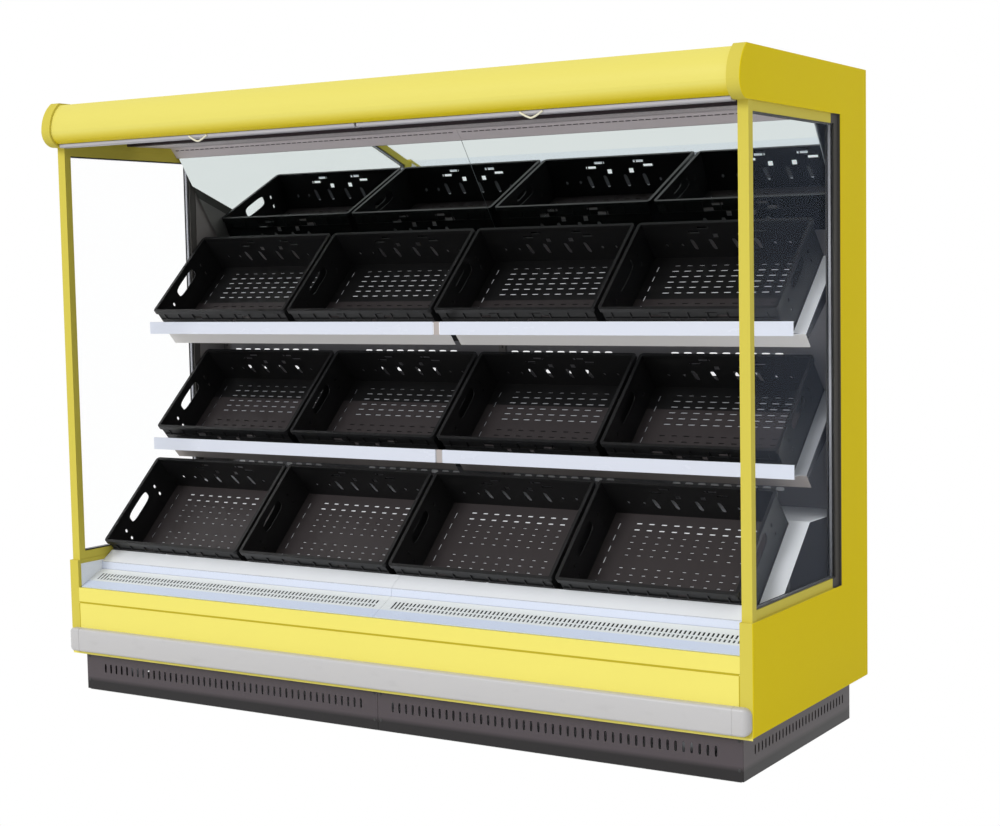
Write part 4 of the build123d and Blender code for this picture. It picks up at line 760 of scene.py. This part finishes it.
def crate_shape(deck):
    """One crate lying flat: x along it, y from its front rim, z up from its floor.  The
    deck crates have shorter floor slots; the others are closed under the front rows."""
    length, depth, height = CRATE
    rim, wall, radius = 8.0, 3.0, 14.0
    inner, tall, middle = rim + wall, height - 14.0, depth / 2
    shapes = []
    # floor: ten short slots a row, six rows on each side of a plain band
    columns = [length / 2 + side * 43.0 * (k + 0.5) for k in range(5) for side in (-1, 1)]
    rows = [middle + side * 25.0 * k for k in range(1, 7) for side in (-1, 1)]
    xs = grid_lines(60.0, length - 60.0, [(x, 14.5) for x in columns])
    ys = grid_lines(rim, depth - rim, [(y, 6.0) for y in rows])
    kind = np.zeros((len(xs) - 1, len(ys) - 1), int)
    for x in columns:
        for y in rows:
            wide = y > depth - 90.0 if deck else middle < y < depth - 60.0
            kind[cell_at(xs, x), cell_at(ys, y)] = 3 if wide else 2
    if deck:
        shapes.append(plate(xs, ys, wall, kind, [(7.0, 2.0, 0.4, 0.0), (10.5, 3.3, 0.4, 0.0)]))
    else:
        shapes.append(plate(xs, ys, wall, kind, [(10.0, 2.2, 0.4, 0.0), (13.0, 3.0, 0.4, 0.0)]))
        shapes.append(block(60.0, length - 60.0, 24.0, middle - 18.0, 0.0, 0.5))
    # floor beside both end walls: slots the other way
    lanes = [middle + 45.0 * k for k in range(-3, 4)]
    ys = grid_lines(rim, depth - rim, [(y, 16.0) for y in lanes])
    for x0, x1, x in ((rim, 60.0, 40.0), (length - 60.0, length - rim, length - 40.0)):
        xs = grid_lines(x0, x1, [(x, 5.0)])
        kind = np.zeros((len(xs) - 1, len(ys) - 1), int)
        kind[1, [cell_at(ys, y) for y in lanes]] = 2
        shapes.append(plate(xs, ys, wall, kind, [(2.4, 13.0, 0.4, 0.0)]))
    # long walls: leaning ovals and dots below, stepped slots and squares under the rim
    leaning = [171.0, 237.0, 318.0, 393.0]
    dots = [75.0, 130.0, 450.0, 500.0]
    upper = [(112, 166, 206), (130, 203, 243), (94, 248, 266), (94, 334, 352), (130, 357, 397),
             (112, 394, 434)]
    for face, sign in ((rim, 1.0), (depth - rim, -1.0)):
        us = grid_lines(rim, length - rim,
                        [(x, 13.0) for x in leaning] + [(x, 7.0) for x in dots])
        kind = np.zeros((len(us) - 1, 3), int)
        kind[[cell_at(us, x) for x in leaning], 1] = 2
        kind[[cell_at(us, x) for x in dots], 1] = 3
        low = plate(us, [0.0, 34.0, 82.0, 84.0], wall, kind,
                    [(8.0, 23.0, 0.6, -0.18), (5.0, 6.0, 1.0, 0.0)], 16)
        us = np.array(sorted({rim, length - rim, *[float(x) for _, *pair in upper for x in pair]}))
        levels = np.array([84.0, 86.0, 103.0, 107.0, 117.0, 125.0, 135.0, tall])
        kind = np.zeros((len(us) - 1, len(levels) - 1), int)
        for z, x0, x1 in upper:
            kind[cell_at(us, x0 + 0.1):cell_at(us, x1 - 0.1) + 1, cell_at(levels, z)] = 1
        for flat in (low, plate(us, levels, wall, kind)):
            shapes.append(placed(flat, lambda u, v, w, f=face, s=sign: (u, f + s * w, v)))
    # end walls: the hand hole between two columns of small ovals
    for face, sign in ((rim, 1.0), (length - rim, -1.0)):
        kind = np.zeros((3, 3), int)
        kind[1, 1] = 2
        flats = [plate(middle + np.array([-66.0, -62.0, 62.0, 66.0]), [0.0, 84.0, 124.0, tall],
                       wall, kind, [(61.0, 19.0, 0.5, 0.0)], 32)]
        for side in (-1.0, 1.0):
            low, high = sorted((middle + side * 66.0, middle + side * (middle - rim)))
            us = grid_lines(low, high, [(middle + side * 104.5, 8.0)])
            kind = np.zeros((3, 5), int)
            kind[1, [1, 3]] = 2
            flats.append(plate(us, [0.0, 45.0, 65.0, 84.0, 104.0, tall], wall, kind,
                               [(5.0, 7.5, 0.8, 0.0)]))
        for flat in flats:
            shapes.append(placed(flat, lambda u, v, w, f=face, s=sign: (f + s * w, u, v)))
    # rim: a channel turned down outside; a foot round the floor; a ribbed ledge front and rear
    shapes.append(round_frame(length, depth, radius, [
        (-inner, tall - 2), (-inner, height), (0.0, height), (0.0, tall), (-2.0, tall),
        (-2.0, height - 3), (-inner + 3, height - 3), (-inner + 3, tall - 2)]))
    shapes.append(round_frame(length, depth, radius - 4, [
        (-rim, 0.0), (-rim, 6.0), (-rim + 1.6, 6.0), (-rim + 1.6, 0.0)]))
    for y0, y1 in ((4.0, rim), (depth - rim, depth - 4.0)):
        shapes.append(block(rim + 4.0, length - rim - 4.0, y0, y1, 104.0, 106.0))
        shapes += [block(x - 1.5, x + 1.5, y0, y1, 106.0, tall)
                   for x in np.linspace(40.0, length - 40.0, 9)]
    return join(*shapes)


def crates():
    """Every crate on its seat, in its own mesh."""
    lit = {"top": 0.194, "middle": 0.286, "deck": 0.4}      # metres from the front wall
    for row, (seat_y, seat_z) in SEATS.items():
        shape = crate_shape(row == "deck")
        for k in range(4):
            x0 = -INNER + 5.0 + CRATE_PITCH * k
            name = f"crate_{row}_{k + 1}"

            def seat(u, v, w):
                return x0 + u, seat_y + v * UP[0] + w * OUT[0], seat_z + v * UP[1] + w * OUT[1]

            made = piece(name + "_moulded", placed(shape, seat), "crate",
                         [name], body=name)
            spots = np.empty(len(made.data.vertices) * 3)
            made.data.vertices.foreach_get("co", spots)
            flat = spots.reshape(-1, 3)[:, 1:] - np.array([seat_y, seat_z]) * MM
            own_uv(made, flat @ OUT, flat @ UP / lit[row])


# ---- blinds ----
def own_uv(made, across, along):
    """Writes the piece's own UV map from one pair of values for each vertex."""
    layer = made.data.uv_layers.new(name="own")
    index = np.empty(len(made.data.loops), int)
    made.data.loops.foreach_get("vertex_index", index)
    layer.data.foreach_set("uv", np.column_stack([across[index], along[index]]).ravel())


def cloth_piece(name, grid, replaces):
    """A one-sided cloth from a grid [across, along, xyz], with UVs in metres and a wall
    of 0.4 mm from a Solidify modifier.  Gives the piece and its length in metres."""
    n, m = grid.shape[:2]
    number = np.arange(n * m).reshape(n, m)
    quads = np.stack([number[:-1, :-1], number[1:, :-1], number[1:, 1:], number[:-1, 1:]], -1)
    mesh = bpy.data.meshes.new(name)
    mesh.from_pydata((grid.reshape(-1, 3) * MM).tolist(), [], quads.reshape(-1, 4).tolist())
    mesh.polygons.foreach_set("use_smooth", [True] * len(mesh.polygons))
    made = linked(name, mesh)
    mesh.materials.append(finishes["cloth"])
    step = np.linalg.norm(np.diff(grid, axis=1), axis=2)
    far = np.concatenate([np.zeros((n, 1)), np.cumsum(step, axis=1)], axis=1)
    own_uv(made, (grid[..., 0] * MM).ravel(), (far * MM).ravel())
    wall = made.modifiers.new("cloth_wall", "SOLIDIFY")
    wall.thickness = 0.4 * MM
    wall.offset = 0.0
    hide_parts(*replaces)
    return made, float(far[0, -1]) * MM


def blinds():
    """Each blind's cloth: wound in a spiral on its tube, and a short drop to the bar."""
    axis_y, axis_z, drop_y, bar_top = -395.0, 1975.0, -420.6, 1890.4
    for (name, side), (low, high) in zip(SIDES, mirrored(4.0, 1242.0)):
        xs = np.linspace(low, high, 60)
        # the drop: flat, with a ripple of under half a millimetre that fades at both ends
        zs = np.linspace(axis_z, bar_top, 24)
        share = (axis_z - zs) / (axis_z - bar_top)
        grid = np.empty((60, 24, 3))
        grid[..., 0] = xs[:, None]
        grid[..., 1] = drop_y + 0.15 * np.sin(xs / 70.0)[:, None] * np.sin(np.pi * share)[None]
        grid[..., 2] = zs[None]
        drop, length = cloth_piece(f"blind_cloth_{name}", grid, [f"blind_curtain_{name}"])
        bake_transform(drop)
        # the roll: radius grows by one cloth thickness a turn
        turns, thick = 4.0, 0.55
        t = np.linspace(0.0, turns * 2 * np.pi, 140)
        radius = 22.5 + thick * t / (2 * np.pi)
        grid = np.empty((16, 140, 3))
        grid[..., 0] = np.linspace(low, high, 16)[:, None]
        grid[..., 1] = axis_y + (radius * np.cos(t))[None]
        grid[..., 2] = axis_z + (radius * np.sin(t))[None]
        roll, length = cloth_piece(f"blind_roll_{name}", grid, [f"blind_roller_{name}"])
        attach(roll, f"blind_roller_{name}")
        core = tube([(x, axis_y, axis_z) for x in sorted((side * 2.3, side * 1245.7))], 21.9, 40)
        pins = [tube([(side * a, axis_y, axis_z), (side * b, axis_y, axis_z)], 5.0, 24)
                for a, b in ((0.3, 2.6), (1245.4, 1249.7))]
        piece(f"blind_tube_{name}", join(core, *pins), "aluminium",
              [f"blind_roller_{name}"], body=f"blind_roller_{name}")


def pull_bars():
    """Each blind's bar, with a wire handle that hangs from it in an open arc: the drop
    is one less the 1.4th power of the distance from its middle."""
    front, rear, low, top = -433.6, -399.6, 1878.1, 1890.1
    outline = [(front, low + 4.0), (front, top), (rear, top), (rear, low), (front + 4.0, low)]
    share = np.linspace(-1.0, 1.0, 25)
    for name, side in SIDES:
        ends = sorted((side * 4.0, side * 1246.0))
        body = f"blind_bar_{name}"
        piece(f"pull_bar_{name}", bar(outline, *ends), "pull_bar", [body],
              0.8, body)
        path = np.column_stack([side * 625.0 + 38.0 * share, np.full(25, front - 3.0),
                                top - 4.0 - 18.0 * (1.0 - np.abs(share) ** 1.4)])
        piece(f"pull_handle_{name}", tube(path, 3.0), "handle", body=body)


# ---- shelves and front ----
def brackets():
    """Shelf brackets: plates from the corner of the lip back to the uprights, level below
    in front so that no tip shows under the shelf."""
    plates = []
    for name in ("top", "middle"):
        y, z = np.array(SEATS[name]) + UP * 6.2 - OUT * 0.6
        rear = z + (393.5 - y) * UP[1] / UP[0]
        outline = [(y, z), (y + 22.0, z), (393.5, rear - 70.0), (393.5, rear)]
        for _, side in SIDES:
            for x in (8.0, 1227.0):
                plates.append(bar(outline, *sorted((side * x, side * (x + 3.0)))))
    piece("shelf_brackets_plain", join(*plates), "bracket_and_painted_shadow", ["shelf_brackets"])


def shelf_lips():
    """Sheets just outside the lips under the price rails, lighter on the upper shelf and darker on
    the lower as painted light and shade, a plate in the gap between the rails in the darker one,
    and on the upper flange that the mirror shows through the slots of the top crates, a strip in
    front that glows as painted light and a dark strip behind it as painted shadow."""
    for name, row in (("upper", "top"), ("lower", "middle")):
        corner = np.array(SEATS[row]) + UP * 5.9
        place, far = folding([corner + OUT * 36.0, corner - OUT * 18.0])
        # sheets just outside the lip, in painted light on the upper shelf and painted shade on the
        # lower
        shading_sheets = [placed(plate(ends, far, 0.8), place) for ends in mirrored(11.0, 1247.0)]
        piece(f"shelf_lip_painted_shading_{name}", join(*shading_sheets), f"lip_{name}")
        # the plate in the gap between the rails takes the lower lip's painted shade
        base = SEATS[row][1] + 29.0
        middle = block(-10.8, 10.8, -12.6, -11.6, base, base + 43.0)
        piece(f"shelf_mid_{name}", middle, "lip_lower")
    # On the upper flange: a front strip with a painted glow as light, and a dark rear strip as
    # painted shadow.
    for name, y0, y1, finish in (("front", -9.0, 38.0, "duct"), ("rear", 38.5, 80.0, "bracket_and_painted_shadow")):
        strips = [block(*ends, y0, y1, 1232.2, 1232.7) for ends in mirrored(13.0, 1225.0)]
        piece(f"flange_painted_shading_strip_{name}", join(*strips), finish)
    lines = [block(-1246.0, 1246.0, -300.8, -299.8, 436.9, 438.3),
             block(-1246.0, 1246.0, -304.4, -303.4, 411.4, 412.8)]
    piece("deck_fold_lines", join(*lines), "line")


def bumper():
    """Bumper with rounded edges: its ends fall back along a quarter circle of 22 mm, and a
    groove parts each cap from the rail."""
    front, back, low, high, edge, reach, fall = FRONT - 25.0, FRONT, 142.0, 222.0, 9.0, 1286.0, 22.0
    stops, inset = [], []
    for angle in np.linspace(0.0, np.pi / 2, 8):
        stops.append(reach - fall * (1.0 - math.sin(angle)))
        inset.append(fall * (1.0 - math.cos(angle)))
    stops += [reach - 50.0, reach - 50.2, reach - 51.4, reach - 51.6]
    order = sorted(zip(stops, inset + [0.0, 0.8, 0.8, 0.0]))
    turn = np.linspace(0.0, np.pi / 2, 5)
    sections = []
    for x, cut in [(-x, cut) for x, cut in order[::-1]] + order:
        y0, z0, z1 = front + cut, low + cut, high - cut
        r = min(edge, back - y0 - 0.4)
        arc = [(r * (1 - math.sin(t)), r * (1 - math.cos(t))) for t in turn]
        outline = [(back, z0)] + [(y0 + a, z0 + b) for a, b in arc]
        outline += [(y0 + b, z1 - a) for a, b in arc] + [(back, z1)]
        sections.append([(x, y, z) for y, z in outline])
    piece("bumper_moulded", sweep(sections), "bumper", ["bumper_rail"])


def front_edges():
    """Folded lower edge of the front cladding, and dark strips along the joints round its lower
    panel, painted as the shadow in the gaps.
    """
    edge = block(-1287.0, 1287.0, FRONT + 1.0, FRONT + 2.5, 129.5, 137.4)
    piece("front_drip_edge", edge, "yellow_front_painted_sheen")
    # painted shadow along the gaps round the lower panel
    gap_shadows = [block(-1248.0, 1248.0, FRONT - 0.3, FRONT + 0.5, 307.5, 313.5)]
    gap_shadows += [block(*ends, FRONT - 0.3, FRONT + 0.5, 222.0, 307.5)
              for ends in mirrored(1247.0, 1250.0)]
    piece("front_panel_painted_gap_shadows", join(*gap_shadows), "seam")


# ---- small trim ----
def gaskets():
    """Black glazing seal round the outer and inner face of each window."""
    y0, y1, z0, z1 = -404.5 + 28.0, 255.0 - 28.0, 457.0 + 28.0, 1881.0 - 28.0
    ring = round_frame(y1 - y0, z1 - z0, 2.0,
                       [(-0.2, -1.0), (-0.2, 1.0), (-4.0, 0.6), (-4.0, -1.0)], 3)
    for name, side in SIDES:
        shapes = [placed(ring, lambda u, v, w, s=side, x=x, d=d: (s * (x + d * w), u + y0, v + z0))
                  for x, d in ((1275.2, 1.0), (1256.8, -1.0))]
        piece(f"window_seal_{name}", join(*shapes), "black")


# ---- what stays from the frame gets its finish ----
def dress():
    """Gives each kept CAD node its finish."""
    table = {
        "end": ["end_panel_left", "end_panel_right"],
        "frame": ["window_frame_left", "window_frame_right"],
        "canopy": ["canopy_fascia"], "yellow_front_painted_sheen": ["front_upper_panel", "front_lower_panel"],
        "white": ["drain_pan"], "deck": ["deck_trays"], "tray": ["shelf_tray_upper"],
        "tray_painted_shade": ["shelf_tray_lower"], "bracket_and_painted_shadow": ["shelf_brackets"],
        "liner": ["end_liners", "shelf_uprights"],
        "body": ["base_tub", "rear_wall", "roof_panel"],
        "zinc": ["base_frame", "deck_supports", "mirror_rails", "fan_plate"],
        "black": ["levelling_feet", "air_honeycomb", "fan_rotor_left", "fan_rotor_middle",
                  "fan_rotor_right"],
        "glass": ["window_panes"], "acrylic": ["front_riser"], "mirror": ["mirrors"],
        "spacer": ["glass_spacers"], "aluminium": ["blind_cassette"],
        "pull_bar": ["blind_bar_left", "blind_bar_right"], "rail": ["price_rails"],
        "bumper": ["bumper_rail"], "grey_plastic": ["electrical_box"],
        "copper": ["refrigerant_pipes"], "dark_metal": ["fan_motors"], "fins": ["evaporator_coil"],
        "mauve": ["canopy_soffit"], "slate": ["back_air_panels"], "cream": ["air_grilles"],
        "plinth": ["plinth_front", "plinth_ends"],
    }
    coats = {name: finish for finish, names in table.items() for name in names}
    for name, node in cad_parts.items():
        coat = finishes[coats.get(name, "crate" if name.startswith("crate_") else "cloth")]
        if not node.material_slots:
            node.data.materials.append(coat)
        for slot in node.material_slots:
            slot.material = coat


# ---- studio ----
def studio():
    """Pale floor, white surround, one soft key light from the front left, and the camera."""
    mesh = bpy.data.meshes.new("floor")
    mesh.from_pydata([(-40, -40, 0), (40, -40, 0), (40, 40, 0), (-40, 40, 0)], [], [(0, 1, 2, 3)])
    floor = linked("floor", mesh)
    paper = Finish("floor_paper")
    x, y, _ = paper.parts(paper.place())
    covered = (abs(x) < 1.24) * (abs(y - 0.01) < 0.4)
    matt = paper.node("BsdfDiffuse", None, {"Color": (0.82, 0.82, 0.82)})
    glow = paper.node("Emission", None, {"Color": (1.0, 1.0, 1.0), "Strength": 1.0})
    mesh.materials.append(paper.end(paper.node("MixShader", None, {
        0: (paper.seen() * 0.88 + 0.12) * (1.0 - covered), 1: matt, 2: glow})))
    world = bpy.data.worlds.new("surround")
    bpy.context.scene.world = world
    world.use_nodes = True
    sky = Finish("surround", world.node_tree)
    seen = sky.seen()
    sky.node("OutputWorld", None, {"Surface": sky.node("Background", None, {
        "Color": (1.0, 1.0, 1.0), "Strength": seen + (1.0 - seen) * 0.62})})
    key = bpy.data.lights.new("key", "SUN")
    key.energy = 1.5
    key.angle = math.radians(25)
    lamp = linked("key", key)
    lamp.rotation_euler = Vector((0.30, 1.0, -0.62)).to_track_quat("-Z", "Y").to_euler()

    # the camera, as fitted to the photo
    azimuth, elevation, roll = (math.radians(v) for v in (31.824, 4.551, -1.091))
    back = Vector((math.sin(azimuth) * math.cos(elevation),
                   -math.cos(azimuth) * math.cos(elevation), math.sin(elevation)))
    right = (-back).cross(Vector((0, 0, 1))).normalized()
    up = right.cross(-back)
    right, up = (math.cos(roll) * right + math.sin(roll) * up,
                 -math.sin(roll) * right + math.cos(roll) * up)
    lens = bpy.data.cameras.new("camera")
    lens.sensor_width = 36.0
    lens.lens = 36.0 * 1.8072
    lens.clip_end = 200.0
    camera = linked("camera", lens)
    turn = Matrix((right, up, back)).transposed().to_4x4()
    camera.matrix_world = Matrix.Translation((3.2878, -4.9265, 1.4386)) @ turn
    bpy.context.scene.camera = camera
    bpy.context.scene.view_settings.view_transform = "Standard"


for build in (dress, plinth, grilles, soffit, mirror_joint, back_panels, brackets, shelf_lips,
              bumper, front_edges, crates, blinds, pull_bars, gaskets, studio):
    build()
